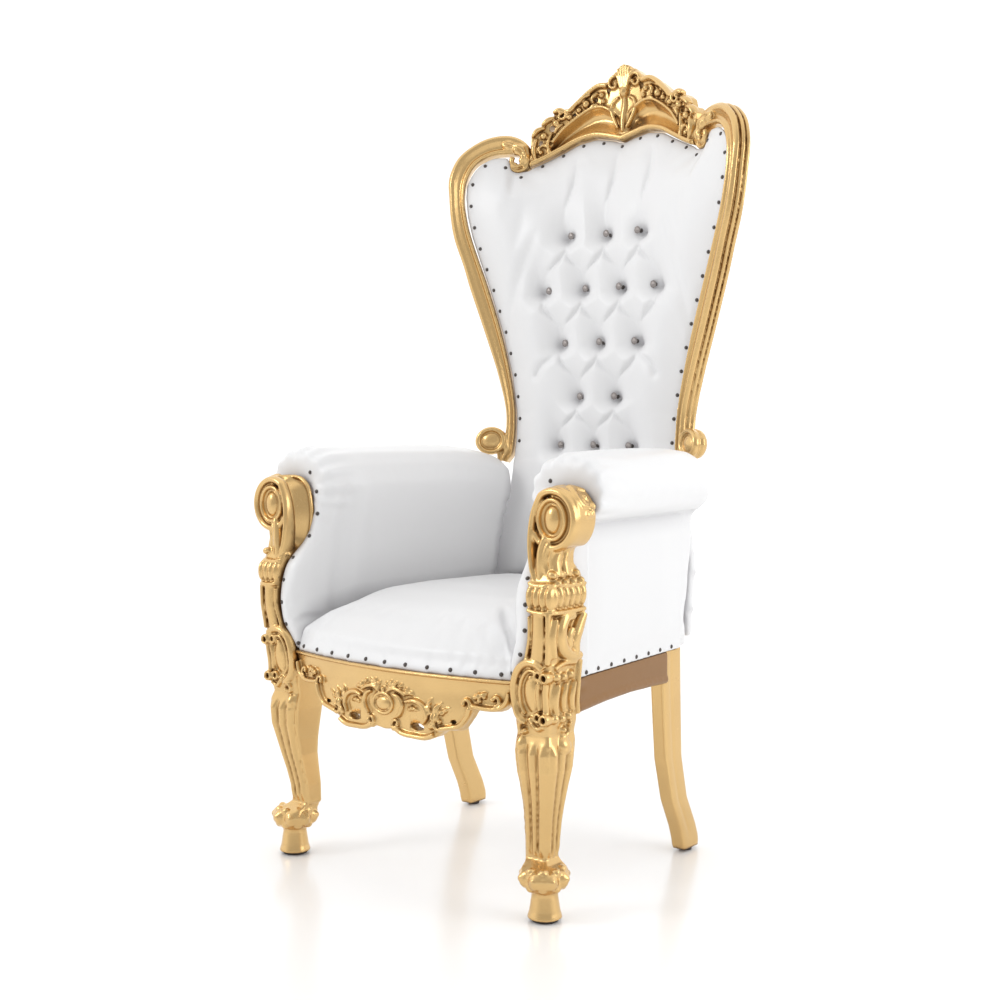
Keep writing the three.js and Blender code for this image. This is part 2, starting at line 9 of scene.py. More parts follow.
import bpy
import numpy as np
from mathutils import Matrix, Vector


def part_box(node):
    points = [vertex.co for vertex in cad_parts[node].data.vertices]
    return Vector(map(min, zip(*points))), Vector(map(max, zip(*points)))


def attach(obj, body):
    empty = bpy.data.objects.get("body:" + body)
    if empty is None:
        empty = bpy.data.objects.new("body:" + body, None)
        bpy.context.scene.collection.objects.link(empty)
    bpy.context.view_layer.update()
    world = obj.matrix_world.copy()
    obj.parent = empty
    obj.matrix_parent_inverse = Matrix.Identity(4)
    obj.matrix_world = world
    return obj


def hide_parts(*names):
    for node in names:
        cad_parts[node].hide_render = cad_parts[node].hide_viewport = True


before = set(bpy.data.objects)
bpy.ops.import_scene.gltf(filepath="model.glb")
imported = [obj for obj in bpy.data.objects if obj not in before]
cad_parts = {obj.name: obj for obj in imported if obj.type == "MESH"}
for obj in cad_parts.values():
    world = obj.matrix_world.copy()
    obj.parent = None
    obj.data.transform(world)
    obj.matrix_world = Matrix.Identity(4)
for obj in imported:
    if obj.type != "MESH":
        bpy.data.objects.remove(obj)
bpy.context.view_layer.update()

FOOT_LOW, FOOT_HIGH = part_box("front_glide_left")
FRONT_Y = (FOOT_LOW.y + FOOT_HIGH.y) / 2
SHIFT = np.array([0.0, FRONT_Y, 0.0])
PAIR = (("left", -1), ("right", 1))

# ---- camera ---------------------------------------------------------------------------------
def stand(name, data):
    """A new object in the scene."""
    made = bpy.data.objects.new(name, data)
    bpy.context.scene.collection.objects.link(made)
    return made


camera = stand("camera", bpy.data.cameras.new("camera"))
camera.data.sensor_width = 36.0
camera.data.lens = 53.07
camera.location = (2.0291, -2.1978 + FRONT_Y, 0.9648)
camera.rotation_euler = (math.radians(90 - 3.328), 0.0, math.radians(39.2))
bpy.context.scene.camera = camera


# ---- shader expressions -----------------------------------------------------------------------
class Wire:
    """A shader socket that takes part in Python arithmetic."""

    def __init__(self, build, socket):
        self.build, self.socket = build, socket

    def _math(self, operation, *others):
        inputs = {i: o for i, o in enumerate(others)}
        return self.build.node("ShaderNodeMath", {"operation": operation}, inputs)

    def __add__(self, other):
        return self._math("ADD", self, other)

    def __radd__(self, other):
        return self._math("ADD", other, self)

    def __sub__(self, other):
        return self._math("SUBTRACT", self, other)

    def __rsub__(self, other):
        return self._math("SUBTRACT", other, self)

    def __mul__(self, other):
        return self._math("MULTIPLY", self, other)

    def __rmul__(self, other):
        return self._math("MULTIPLY", other, self)

    def clamped(self):
        return self.build.node("ShaderNodeClamp", {}, {"Value": self, "Min": 0.0, "Max": 1.0})


class Shader:
    """One material or sky: makes nodes from their type, settings and socket values or links."""

    def __init__(self, name, owner=None):
        self.material = owner or bpy.data.materials.new(name)
        self.material.use_nodes = True
        self.tree = self.material.node_tree
        self.tree.nodes.clear()

    def node(self, kind, settings, inputs, output=0):
        made = self.tree.nodes.new(kind)
        for key, value in settings.items():
            if key == "stops":
                ramp = made.color_ramp
                while len(ramp.elements) < len(value):
                    ramp.elements.new(0.5)
                for element, (place, colour) in zip(ramp.elements, value):
                    element.position, element.color = place, (*colour, 1.0)
            else:
                setattr(made, key, value)
        for key, value in inputs.items():
            if isinstance(value, Wire):
                self.tree.links.new(value.socket, made.inputs[key])
            else:
                made.inputs[key].default_value = value
        return Wire(self, made.outputs[output]) if made.outputs else None

    def place(self):
        return self.node("ShaderNodeTexCoord", {}, {}, "Object")

    def noise(self, scale, detail=3.0, rough=0.5, at=None):
        return self.node("ShaderNodeTexNoise", {}, {"Vector": at or self.place(), "Scale": scale,
                         "Detail": detail, "Roughness": rough})

    def mix(self, factor, a, b):
        """Blend of two colours, each a triple or a wire."""
        solid = [c if isinstance(c, Wire) else (*c, 1.0) for c in (a, b)]
        return self.node("ShaderNodeMix", {"data_type": "RGBA"}, {0: factor, 6: solid[0], 7: solid[1]}, 2)

    def surface(self, bump=None, strength=0.2, depth=0.001, **sockets):
        inputs = {key.replace("_", " "): value for key, value in sockets.items()}
        if bump is not None:
            inputs["Normal"] = self.node("ShaderNodeBump", {},
                                         {"Height": bump, "Strength": strength, "Distance": depth})
        body = self.node("ShaderNodeBsdfPrincipled", {}, inputs)
        self.node("ShaderNodeOutputMaterial", {}, {"Surface": body})
        return self.material


def gilding(name, light, deep, metallic, rough):
    """Gold finish with painted shade: ambient occlusion darkens the colour from light to deep in the hollows
    and leaves it bright on the rounds; slightly uneven.
    """
    s = Shader(name)
    near = s.node("ShaderNodeAmbientOcclusion", {"samples": 8}, {"Distance": 0.009}, "AO")
    wide = s.node("ShaderNodeAmbientOcclusion", {"samples": 8}, {"Distance": 0.030}, "AO")
    # Painted shade: how open each place is, from two ambient occlusion reaches, sets how far its colour goes
    # from deep to light.
    open_for_painted_shade = ((near * 0.6 + wide * 0.4 - 0.34) * 1.9).clamped()
    cloud, rub = s.noise(9.0, 4.0), s.noise(60.0, 3.0)
    painted_shade_tone = (open_for_painted_shade * (0.82 + cloud * 0.36)).clamped()
    return s.surface(bump=rub * 0.6 + s.noise(220.0, 2.0) * 0.4, strength=0.10, depth=0.0006,
                     Base_Color=s.mix(painted_shade_tone, deep, light), Metallic=metallic,
                     Roughness=(rough + (1 - open_for_painted_shade) * 0.25 + rub * 0.10).clamped())


def leather_finish():
    """White upholstery leather: pores, faint creases, a soft sheen, and painted shade that greys the colour
    in the hollows.
    """
    s = Shader("white_leather")
    pores = s.node("ShaderNodeTexVoronoi", {"feature": "DISTANCE_TO_EDGE"},
                   {"Vector": s.place(), "Scale": 420.0})
    crease = s.noise(26.0, 5.0, 0.6)
    hollow = s.node("ShaderNodeAmbientOcclusion", {"samples": 8}, {"Distance": 0.05}, "AO")
    shade = (hollow * 0.82 + 0.18 + crease * 0.04).clamped()
    # Painted shade: ambient occlusion mixes the grey (0.40, 0.39, 0.41) into the hollows.
    colour = s.mix(shade, (0.40, 0.39, 0.41), (0.80, 0.80, 0.805))
    return s.surface(bump=pores * 0.5 + crease * 0.8, strength=0.10, depth=0.0008, Base_Color=colour,
                     Roughness=(0.36 + crease * 0.16).clamped(), Coat_Weight=0.12, Coat_Roughness=0.25)


def plain_finish(name, colour, metallic, rough):
    s = Shader(name)
    wear = s.noise(140.0, 3.0)
    return s.surface(bump=wear, strength=0.08, depth=0.0004, Metallic=metallic,
                     Base_Color=s.mix(wear, tuple(0.8 * c for c in colour), colour),
                     Roughness=(rough - 0.08 + wear * 0.16).clamped())


# Each gilding's second colour is painted shade, laid into its hollows.
FINISHES = {
    "gilding": gilding("gilding", (0.71, 0.475, 0.205), (0.17, 0.070, 0.012), 0.85, 0.20),
    # gilding_shade is the same gold painted darker, as painted shade and painted dark reflection.
    "gilding_shade": gilding("gilding_shade", (0.27, 0.135, 0.045), (0.12, 0.055, 0.015), 0.5, 0.30),
    "white_leather": leather_finish(),
    "dark_nickel": plain_finish("dark_nickel", (0.085, 0.072, 0.066), 0.35, 0.34),
    "glide": plain_finish("glide", (0.05, 0.04, 0.035), 0.0, 0.6)}


# ---- meshes ---------------------------------------------------------------------------------
def add_piece(name, shapes, slot, *stands_for):
    """One object from a list of (points, faces) shapes, drawn in the front-feet frame."""
    points, faces, count = [], [], 0
    for pts, fcs in shapes:
        pts = np.asarray(pts, float).reshape(-1, 3)
        points.append(pts)
        faces += [[i + count for i in f] for f in fcs]
        count += len(pts)
    cloud = np.vstack(points) + SHIFT
    data = bpy.data.meshes.new(name)
    data.from_pydata(cloud.tolist(), [], faces)
    data.materials.append(FINISHES[slot])
    piece = stand(name, data)
    data.shade_smooth()
    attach(piece, "root")
    if stands_for:
        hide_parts(*stands_for)
    return piece


def settle(piece, *modifiers):
    """Applies modifiers, each (kind, settings), to the piece's own mesh."""
    for kind, settings in modifiers:
        m = piece.modifiers.new(kind.lower(), kind)
        for key, value in settings.items():
            setattr(m, key, value)
    bpy.context.view_layer.update()
    baked = bpy.data.meshes.new_from_object(piece.evaluated_get(bpy.context.evaluated_depsgraph_get()))
    old, name = piece.data, piece.data.name
    piece.modifiers.clear()
    piece.data = baked
    bpy.data.meshes.remove(old)
    baked.name = name
    baked.shade_smooth()
    return piece


def lighten(piece, keep):
    """Leaves the given share of the triangles, most of them where the form bends."""
    return settle(piece, ("DECIMATE", {"ratio": keep}))


def fuse(piece, grain, rounds, keep):
    """Melts overlapping closed shapes into one carved skin."""
    settle(piece, ("REMESH", {"mode": "VOXEL", "voxel_size": grain}),
           ("SMOOTH", {"factor": 0.5, "iterations": rounds}))
    return lighten(piece, keep)


def loft(rings):
    """Closed skin through equal rings, with flat ends."""
    rings = np.asarray(rings, float)
    k, n = rings.shape[:2]
    faces = [[r * n + i, r * n + (i + 1) % n, (r + 1) * n + (i + 1) % n, (r + 1) * n + i]
             for r in range(k - 1) for i in range(n)]
    faces += [list(range(n))[::-1], [(k - 1) * n + i for i in range(n)]]
    return rings.reshape(-1, 3), faces


def curve(points, steps):
    """Smooth run through control points, as steps + 1 points with equal parameter spacing."""
    p = np.asarray(points, float)
    p = np.vstack([2 * p[0] - p[1], p, 2 * p[-1] - p[-2]])
    out = []
    for u in np.linspace(0, len(p) - 3 - 1e-9, steps + 1):
        i, t = int(u), u - int(u)
        a, b, c, d = p[i:i + 4]
        out.append(0.5 * (2 * b + (c - a) * t + (2 * a - 5 * b + 4 * c - d) * t * t
                          + (3 * b - a - 3 * c + d) * t ** 3))
    return np.array(out)


def ease(a, b, v):
    t = np.clip((np.asarray(v, float) - a) / (b - a), 0, 1)
    return t * t * (3 - 2 * t)


def hill(v, centre, width):
    return np.exp(-((np.asarray(v, float) - centre) / width) ** 2)


# Ornament is drawn on a panel, in millimetres: across, up and out of it.  A panel function, in metres,
# places it in space.
def strip(panel, points, half, high, base=0, steps=None):
    """Raised band along a path.  half and high are numbers or functions of 0..1 along it."""
    steps = steps or max(12, 8 * (len(points) - 1))
    path, across = heading(points, steps)
    a = np.arange(14) / 14 * 2 * np.pi
    rings = []
    for i, p in enumerate(path):
        w, h = (size(i / steps) if callable(size) else size for size in (half, high))
        spot = p + across[i] * (np.cos(a)[:, None] * w)
        rings.append(np.column_stack([spot, base + np.sin(a) * h]))
    return carved(panel, rings)


def strips(panel, *rows):
    """Several bands on one panel, each row a path, half width, height and perhaps base and steps."""
    return [strip(panel, *row) for row in rows]


def heading(points, steps):
    """A smooth path and the direction across it at each step."""
    path = curve(points, steps)
    along = np.gradient(path, axis=0)
    along /= np.linalg.norm(along, axis=1)[:, None] + 1e-12
    return path, np.stack([along[:, 1], -along[:, 0]], 1)


def place_on(panel, shape):
    points, faces = shape
    return panel(points), faces


def carved(panel, rings):
    """Skin over rings drawn in millimetres on a panel."""
    points, faces = loft(rings)
    return panel(points / 1000), faces


def scroll(panel, centre, start, end, turn0, turn1, half, high, base=0):
    """Spiral band with a bead in its eye.  start and end are its radii, turn0 and turn1 degrees."""
    a = np.radians(np.linspace(turn0, turn1, max(8, int(abs(turn1 - turn0) / 20))))
    r = np.linspace(start, end, len(a))
    path = np.stack([centre[0] + r * np.cos(a), centre[1] + r * np.sin(a)], 1)
    eye = bead(panel, path[-1], half * 1.15, high * 1.05, base)
    return [strip(panel, path, lambda t: half * (1 - 0.4 * t), lambda t: high * (1 - 0.4 * t), base), eye]


def bead(panel, at, radius, high, base=0, tall=None):
    """Round or oval boss."""
    u, v = np.meshgrid(np.linspace(0, 2 * np.pi, 17)[:-1], np.linspace(0.06, np.pi - 0.06, 9))
    x = at[0] + radius * np.sin(v) * np.cos(u)
    y = at[1] + (tall or radius) * np.sin(v) * np.sin(u)
    z = base - high * np.cos(v)
    return carved(panel, np.stack([x, y, z], 2))


def ring(panel, at, radius, half, high, base=0, tall=None):
    """Round or oval band."""
    a = np.linspace(0, 2 * np.pi, 33)
    path = np.stack([at[0] + radius * np.cos(a), at[1] + (tall or radius) * np.sin(a)], 1)
    return strip(panel, path, half, high, base, steps=64)


def leaf(panel, points, width, high, lobes, base=0):
    """Acanthus leaf: lobed edge, hollow midrib and ribs that fan from it."""
    steps = 46
    path, across = heading(points, steps)
    s = np.linspace(-1, 1, 17)
    rings = []
    for i, p in enumerate(path):
        t = i / steps
        plump = np.sin(np.pi * (0.06 + 0.9 * t) ** 0.8) ** 0.7
        w = width * plump * (1 + 0.22 * np.cos(2 * np.pi * lobes * t - 2.2 * np.abs(s)))
        rise = high * plump * np.sqrt(np.clip(1 - s * s, 0, 1)) * (
            1 - 0.45 * hill(s, 0, 0.16) + 0.22 * np.cos(2 * np.pi * lobes * t - 4.5 * np.abs(s)))
        top = np.column_stack([p + across[i] * (s * w)[:, None], base + rise])
        low = np.column_stack([p + across[i] * (s[::-1] * w[::-1] * 0.9)[:, None],
                               np.full(17, base - 4)])
        rings.append(np.vstack([top, low]))
    return carved(panel, rings)


def rounded(angle, power):
    """Places round a square with softened corners; a higher power is squarer."""
    c, s = np.cos(angle), np.sin(angle)
    k = (np.abs(c) ** power + np.abs(s) ** power) ** (-1 / power)
    return c * k, s * k


def table(*rows):
    """Rows of sizes given in millimetres, in metres."""
    return np.array(rows) / 1000


def parts(points):
    """The three columns of a cloud of points."""
    return np.moveaxis(np.asarray(points, float), -1, 0)


def read(rows, at, column=1):
    """Value of a table's column at a place along its first column."""
    return np.interp(at, rows[:, 0], rows[:, column])


def mirrored(shape):
    points, faces = shape
    return np.asarray(points) * (-1, 1, 1), [f[::-1] for f in faces]


def handed(shapes, side):
    """Shapes drawn for the right, or their mirror images for the left."""
    return [mirrored(s) for s in shapes] if side < 0 else shapes


# ---- the wrapped back -----------------------------------------------------------------------
BACK_Y, LEAN, HOLLOW = 0.682, 0.0954, 0.969


def on_back(points):
    """Places (x, z, out) on the leaning, hollow face of the back; out is towards the sitter."""
    x, z, out = parts(points)
    h = z - 0.9
    y = BACK_Y + LEAN * h + 0.0044 * h * h - HOLLOW * x * x
    nx = 2 * HOLLOW * x
    size = np.sqrt(nx * nx + 1 + LEAN * LEAN)
    return np.stack([x - nx / size * out, y - out / size, z + LEAN / size * out], -1)


STILE = table((850, 246, 262), (880, 234, 256), (900, 232, 251), (966, 234, 255), (1060, 250, 277),
              (1162, 276, 310), (1276, 312, 348), (1337, 333, 366), (1402, 354, 387), (1453, 366, 397),
              (1500, 372, 402), (1545, 369, 405))
CREST_LOW = table((0, 1616), (30, 1625), (75, 1633), (120, 1625), (160, 1605), (200, 1587), (233, 1573))
CREST_TOP = table((0, 1800), (22, 1794), (44, 1776), (56, 1762), (92, 1754), (121, 1731), (148, 1706),
                  (160, 1697), (180, 1706), (196, 1694), (203, 1675), (222, 1668), (236, 1652))


def opening_half(z):
    z = np.asarray(z, float)
    low = 0.262 - 0.026 * ease(0.60, 0.85, z)
    high = read(STILE[1:], z)
    return np.where(z < 0.85, low, np.where(z > 1.5, 0.372, high))


def opening_top(x):
    a = np.abs(np.asarray(x, float))
    under_curl = 1.567 + 0.010 * (1 - ease(0.225, 0.238, a))
    rise = 1.567 + 0.035 * ease(0.270, 0.288, a)
    shoulder = 1.603 - 0.105 * (1 - np.sqrt(1 - np.clip((a - 0.305) / 0.068, 0, 1) ** 2))
    out = np.where(a < 0.225, read(CREST_LOW, a), under_curl)
    return np.where(a < 0.270, out, np.where(a < 0.305, rise, shoulder))


# ---- gilded back frame ----------------------------------------------------------------------
STILE_DEPTH = 0.037


def back_stile(hand, side):
    """Reeded stile, over the shoulder and into its curl, with the scroll at its foot."""
    rows = np.delete(STILE, 2, 0)
    path = [((a + b) / 2, z, (b - a) / 2) for z, a, b in rows]
    path += list(table((374, 1586, 20), (352, 1611, 21), (322, 1627, 23), (288, 1630, 23), (261, 1621, 18),
        (248, 1603, 13), (246, 1584, 11), (256, 1571, 10), (270, 1572, 9), (274, 1584, 8)))
    run = curve(path, 220)
    d = STILE_DEPTH
    outline = [(-1, -0.006), (-0.92, 0.0), (-0.75, 0.0035), (-0.55, 0.0008), (-0.42, -0.0038),
        (-0.22, -0.0046), (0.0, -0.0030), (0.40, 0.0012), (0.75, 0.0015), (0.98, -0.004), (1.05, -0.20 * d),
        (0.92, -0.30 * d), (0.44, -0.37 * d), (0.92, -0.44 * d), (1.06, -0.54 * d), (1.02, -0.64 * d),
        (0.44, -0.70 * d), (0.95, -0.78 * d), (1.0, -0.90 * d), (0.90, -d), (-1, -d)]
    section = []
    for a, b in zip(outline, outline[1:] + outline[:1]):
        section += [a, ((a[0] + b[0]) / 2, (a[1] + b[1]) / 2)]
    section = np.array(section)
    along = np.gradient(run[:, :2], axis=0)
    along /= np.linalg.norm(along, axis=1)[:, None]
    rings = []
    for p, (ax, az) in zip(run, along):
        flat = section[:, 0] * p[2]
        rings.append(np.stack([p[0] + az * flat, p[1] - ax * flat, section[:, 1]], 1))
    shapes = [place_on(on_back, loft(rings))]
    eye = (284, 900)
    shapes += [bead(on_back, eye, 34, 20, -18), ring(on_back, eye, 28, 6.2, 9, -1),
               bead(on_back, eye, 21, 9, -2)]
    shapes.append(leaf(on_back, [(262, 905), (258, 875), (266, 848)], 16, 10, 1, -8))
    shapes += scroll(on_back, (262, 1588), 17, 7, 40, -200, 6, 8, -2)
    shapes.append(leaf(on_back, [(300, 1632), (270, 1622), (250, 1600), (250, 1575)], 13, 10, 3))
    piece = add_piece(f"stile_{hand}", handed(shapes, side), "gilding", f"back_stile_{hand}")
    return fuse(piece, 0.0017, 3, 0.30)


def board(panel, top, low, thick, relief):
    """Carved board between two mirrored outlines, with rounded rims and a worked front."""
    columns, rows, edge = 230, 72, 0.006
    reach = top[-1][0]
    xs = np.linspace(-reach, reach, columns)
    zt = read(top, np.abs(xs))
    zl = read(low, np.abs(xs))
    v = np.linspace(0, 1, rows)
    x = np.repeat(xs[:, None], rows, 1)
    z = zl[:, None] + (zt - zl)[:, None] * v
    rim = np.minimum(z - zl[:, None], zt[:, None] - z)
    rise = -edge * (1 - np.sqrt(np.clip(1 - (1 - np.clip(rim / edge, 0, 1)) ** 2, 0, 1)))
    front = np.stack([x, z, rise + relief(np.abs(x), z)], 2)
    rear = np.stack([x, z, np.full_like(x, -thick)], 2)
    return place_on(panel, loft(np.concatenate([front, rear[:, ::-1]], 1)))


def cut(piece, panel, holes):
    """Pierces the carving on both halves with oval holes."""
    tools = []
    for x, z, w, h in [(s * x, *rest) for s in (-1, 1) for x, *rest in holes]:
        a = np.arange(12) / 12 * 2 * np.pi
        flat = np.stack([x + w * np.cos(a), z + h * np.sin(a)], 1)
        tools.append(carved(panel, [np.column_stack([flat, np.full(12, d)]) for d in (-60, 0, 60)]))
    knife = add_piece("knife", tools, "gilding")
    settle(piece, ("BOOLEAN", {"operation": "DIFFERENCE", "object": knife, "solver": "EXACT"}))
    bpy.data.objects.remove(knife)
    return piece


COVE_TOP = table((0, 1668), (30, 1690), (60, 1700), (88, 1698), (116, 1684), (140, 1668), (160, 1652),
                 (180, 1626), (196, 1606))


def cove(x, z):
    """Depth of the two hollow panels, deepest under their wavy upper lip."""
    low = read(CREST_LOW, x) + 0.010
    high = read(COVE_TOP, x)
    v = np.clip((z - low) / np.maximum(high - low, 0.004), 0, 1)
    inside = ease(0.004, 0.024, x) * (1 - ease(0.180, 0.196, x))
    swell = 0.004 * hill(z, low - 0.004, 0.007) + 0.005 * hill(z, high + 0.003, 0.006) * inside
    return swell - 0.016 * inside * np.sin(np.pi * v ** 1.4)


def crest_rail():
    """Pierced crest: shell at the peak, two coves, scrolls, blossoms and leaves along the top."""
    shapes = [board(on_back, CREST_TOP - (0, 0.004), CREST_LOW, 0.033, cove)]
    for k in range(-3, 4):                                          # shell ribs
        tip = (8.5 * k, 1797 - 2 * k * k)
        shapes.append(strip(on_back, [(3 * k, 1742), (6 * k, 1770), tip], lambda t: 3.8 + 2.6 * t,
            lambda t: 10 + 4 * t, 3))
    shapes.append(bead(on_back, (0, 1733), 13, 18, 0.0, 15))
    shapes.append(strip(on_back, [(0, 1722), (2, 1700), (-1, 1672), (0, 1640)], tapered(8, 0.5),
        tapered(8, 0.6)))
    half = []
    half += scroll(on_back, (30, 1757), 19, 6, 120, -170, 5.6, 11, 2)
    half.append(strip(on_back, [(16, 1722), (30, 1712), (34, 1692), (24, 1668), (12, 1648)],
        tapered(5.2, 0.5), 7, 1))
    half.append(strip(on_back, [(50, 1756), (74, 1757), (96, 1746), (120, 1727), (148, 1702)],
        lambda t: 7.5 - 2 * t, 12, 1))   # top scroll of the crest
    half += scroll(on_back, (166, 1694), 13, 4, 150, 420, 5, 10, 2)
    half.append(strip(on_back, [(36, 1694), (62, 1705), (90, 1703), (118, 1689), (142, 1673), (162, 1656),
        (184, 1628)], 4.8, 11, 1))   # lip of the cove
    half.append(strip(on_back, [(0, 1624), (30, 1632), (75, 1640), (120, 1632), (162, 1612), (205, 1591),
        (232, 1580)], 6.6, 9, 2))
    half += scroll(on_back, (208, 1610), 18, 5, 200, -60, 5.6, 10, 1)
    for x, z, r in ((64, 1734, 8), (58, 1718, 7), (104, 1716, 10.5), (122, 1703, 7.5), (145, 1688, 8),
            (178, 1676, 9.5), (206, 1646, 9.5), (192, 1640, 6)):
        half.append(bead(on_back, (x, z), r, r + 2, 1))
    for points, w in (
            ([(74, 1740), (86, 1730), (86, 1716)], 6.2),
            ([(94, 1738), (112, 1732), (124, 1718)], 5.8),
            ([(72, 1712), (84, 1709), (94, 1704)], 5),
            ([(132, 1712), (146, 1703), (158, 1706)], 6),
            ([(156, 1700), (172, 1707), (187, 1702)], 7.5),
            ([(182, 1690), (198, 1684), (212, 1672)], 7.5),
            ([(160, 1672), (172, 1664), (180, 1650)], 6),
            ([(204, 1666), (222, 1660), (233, 1644)], 7),
            ([(186, 1654), (194, 1628), (190, 1608)], 5.5),
            ([(222, 1640), (228, 1614), (222, 1590)], 7)):
        half.append(strip(on_back, points, tapered(w, 0.4), tapered(13, 0.6), 0))
    shapes += half + [mirrored(s) for s in half]
    piece = fuse(add_piece("crest", shapes, "gilding", "crest_rail"), 0.0016, 3, 0.52)
    return cut(piece, on_back, ((47, 1744, 6, 7), (80, 1724, 5, 5.5), (188, 1664, 7, 8), (212, 1628, 5, 8),
        (134, 1694, 4.5, 4)))


# ---- front apron ----------------------------------------------------------------------------
APRON_Y = -0.034


def on_apron(points):
    x, z, out = parts(points)
    bow = 0.044 * (1 - np.minimum(np.abs(x) / 0.3, 1) ** 2)
    return np.stack([x, APRON_Y - bow - out, z], -1)


APRON_LOW = table((0, 334), (30, 338), (52, 328), (80, 326), (108, 326), (130, 334), (150, 350), (185, 352),
                  (205, 380), (215, 397), (250, 395), (270, 397), (285, 410), (299, 410))


def front_apron():
    """Bowed and pierced apron: oval cartouche, scrolled lower edge, flowers and end curls."""
    top = table((0, 460.5), (299, 460.5))
    dish = lambda x, z: -0.003 * hill(z, 0.425, 0.022) * ease(0.06, 0.12, x)
    shapes = [board(on_apron, top, APRON_LOW, 0.026, dish)]
    shapes += [bead(on_apron, (0, 388), 21, 9, 0, 15), ring(on_apron, (0, 388), 26, 3.6, 6, 1, 20)]
    half = []
    half += strips(on_apron,
        ([(0, 456), (100, 456), (200, 456), (298, 456)], 3.6, 6),
        (1000 * APRON_LOW[1:6] + (0, 5.5), 6, 10),
        ([(144, 353), (168, 358), (188, 364), (203, 382), (210, 400)], 5.6, 10),
        ([(216, 404), (244, 402), (268, 404), (284, 416), (292, 436)], 5.2, 9))
    half += scroll(on_apron, (36, 350), 13, 4, 250, -10, 4.6, 9)
    half += scroll(on_apron, (140, 364), 14, 4, -80, -320, 4.8, 9)
    half += scroll(on_apron, (200, 408), 13, 4, -60, 190, 4.6, 9)
    half += scroll(on_apron, (262, 420), 12, 4, -90, 160, 4.4, 8)
    half += strips(on_apron,
        ([(30, 410), (44, 404), (52, 390), (48, 374), (38, 364)], tapered(5.5, 0.5), 10),
        ([(60, 398), (82, 402), (104, 394), (113, 376), (104, 358)], tapered(5.8, 0.5), 10),
        ([(10, 412), (26, 420), (44, 418), (60, 410)], tapered(4.8, 0.5), 8))
    for x, z, r in ((0, 416, 5.5), (10, 428, 4.2), (22, 432, 4.6), (35, 431, 4.2), (48, 428, 4.6),
            (62, 421, 4.2), (240, 424, 4.5), (230, 416, 5)):
        half.append(bead(on_apron, (x, z), r, r + 2, 0))
    for points, w, h in (
            ([(118, 350), (130, 368), (133, 388), (146, 404)], 8.5, 11),
            ([(122, 378), (116, 394), (122, 410)], 5.5, 8),
            ([(136, 384), (150, 386), (164, 396)], 5.5, 8),
            ([(10, 414), (22, 424), (40, 432)], 6, 6),
            ([(52, 412), (66, 416), (80, 412)], 5.5, 6),
            ([(216, 420), (230, 426), (246, 432)], 5.5, 7),
            ([(66, 382), (78, 386), (92, 382)], 5, 7)):
        half.append(leaf(on_apron, points, w, h, 3))
    shapes += half + [mirrored(s) for s in half]
    piece = fuse(add_piece("apron", shapes, "gilding", "front_apron"), 0.0016, 3, 0.48)
    return cut(piece, on_apron, ((86, 350, 18, 8), (172, 369, 7, 4)))


# ---- front uprights ---------------------------------------------------------------------------
# height, inner and outer face across, front and rear face, squareness in thousandths
POST = table((6, 314, 380, -33, 33, 0), (9, 313.5, 380.5, -33.5, 33.5, 0), (20, 317, 377, -30, 30, 0),
             (50, 321.5, 372.5, -25.5, 25.5, 0), (57, 321, 373.5, -26.5, 26.5, 0),
             (64, 314, 380, -35, 34, 100), (74, 306, 387, -42, 41, 150), (88, 303, 388, -43, 43, 150),
             (100, 306, 380, -36, 42, 200), (109, 306, 362, -16, 40, 500), (116, 301, 353, -5, 40, 800),
             (155, 302, 356, -8, 40, 1000), (190, 305, 362, -15, 38, 1000), (224, 308, 370, -23, 37, 1000),
             (259, 307, 378, -31, 39, 1000), (293, 304, 386, -39, 43, 1000), (327, 301, 388, -41, 47, 1000),
             (345, 301, 385, -38, 52, 1000), (362, 301, 379, -32, 55, 1000), (385, 301, 384, -37, 56, 1000),
             (417, 301, 383, -36, 56, 1000), (450, 302, 387, -40, 55, 1000), (487, 313, 388, -41, 55, 1000),
             (515, 335, 390, -43, 55, 1000), (550, 344, 394, -47, 60, 1000), (588, 345, 395, -48, 60, 1000),
             (640, 338, 396, -46, 60, 1000), (664, 335, 391, -36, 58, 1000), (690, 352, 386, -26, 36, 1000),
             (740, 366, 388, -16, 34, 1000))
SCROLL_AT = (0.383, 0.770)


def on_front(points):
    """Front face of the right upright: (x, z, out)."""
    x, z, out = parts(points)
    face = read(POST, z, 3)
    return np.stack([x, face - out, z], -1)


def on_wrap(points):
    """Round the outer corner of the right upright: (along, z, out); along < 0 is its front face."""
    s, z, out = parts(points)
    turn = ease(-0.012, 0.012, s) * np.pi / 2
    x = read(POST, z, 2) + np.minimum(s, 0) - 0.004 * hill(s, 0, 0.008)
    y = read(POST, z, 3) + np.maximum(s, 0) + 0.004 * hill(s, 0, 0.008)
    return np.stack([x + out * np.sin(turn), y - out * np.cos(turn), z], -1)


def on_side(points):
    """Outer face of the right upright: (y, z, out)."""
    y, z, out = parts(points)
    face = read(POST, z, 2)
    return np.stack([face + out, y, z], -1)


HEAD_FACE, HEAD_REAR = -0.024, 0.036


def on_head(points):
    """Front of the scrolled head: (x, z, out)."""
    x, z, out = parts(points)
    return np.stack([x, HEAD_FACE - out, z], -1)


def on_cheek(points):
    """The same front, set back to where the cove meets the leather."""
    return on_head(points) + (0, 0.050, 0)


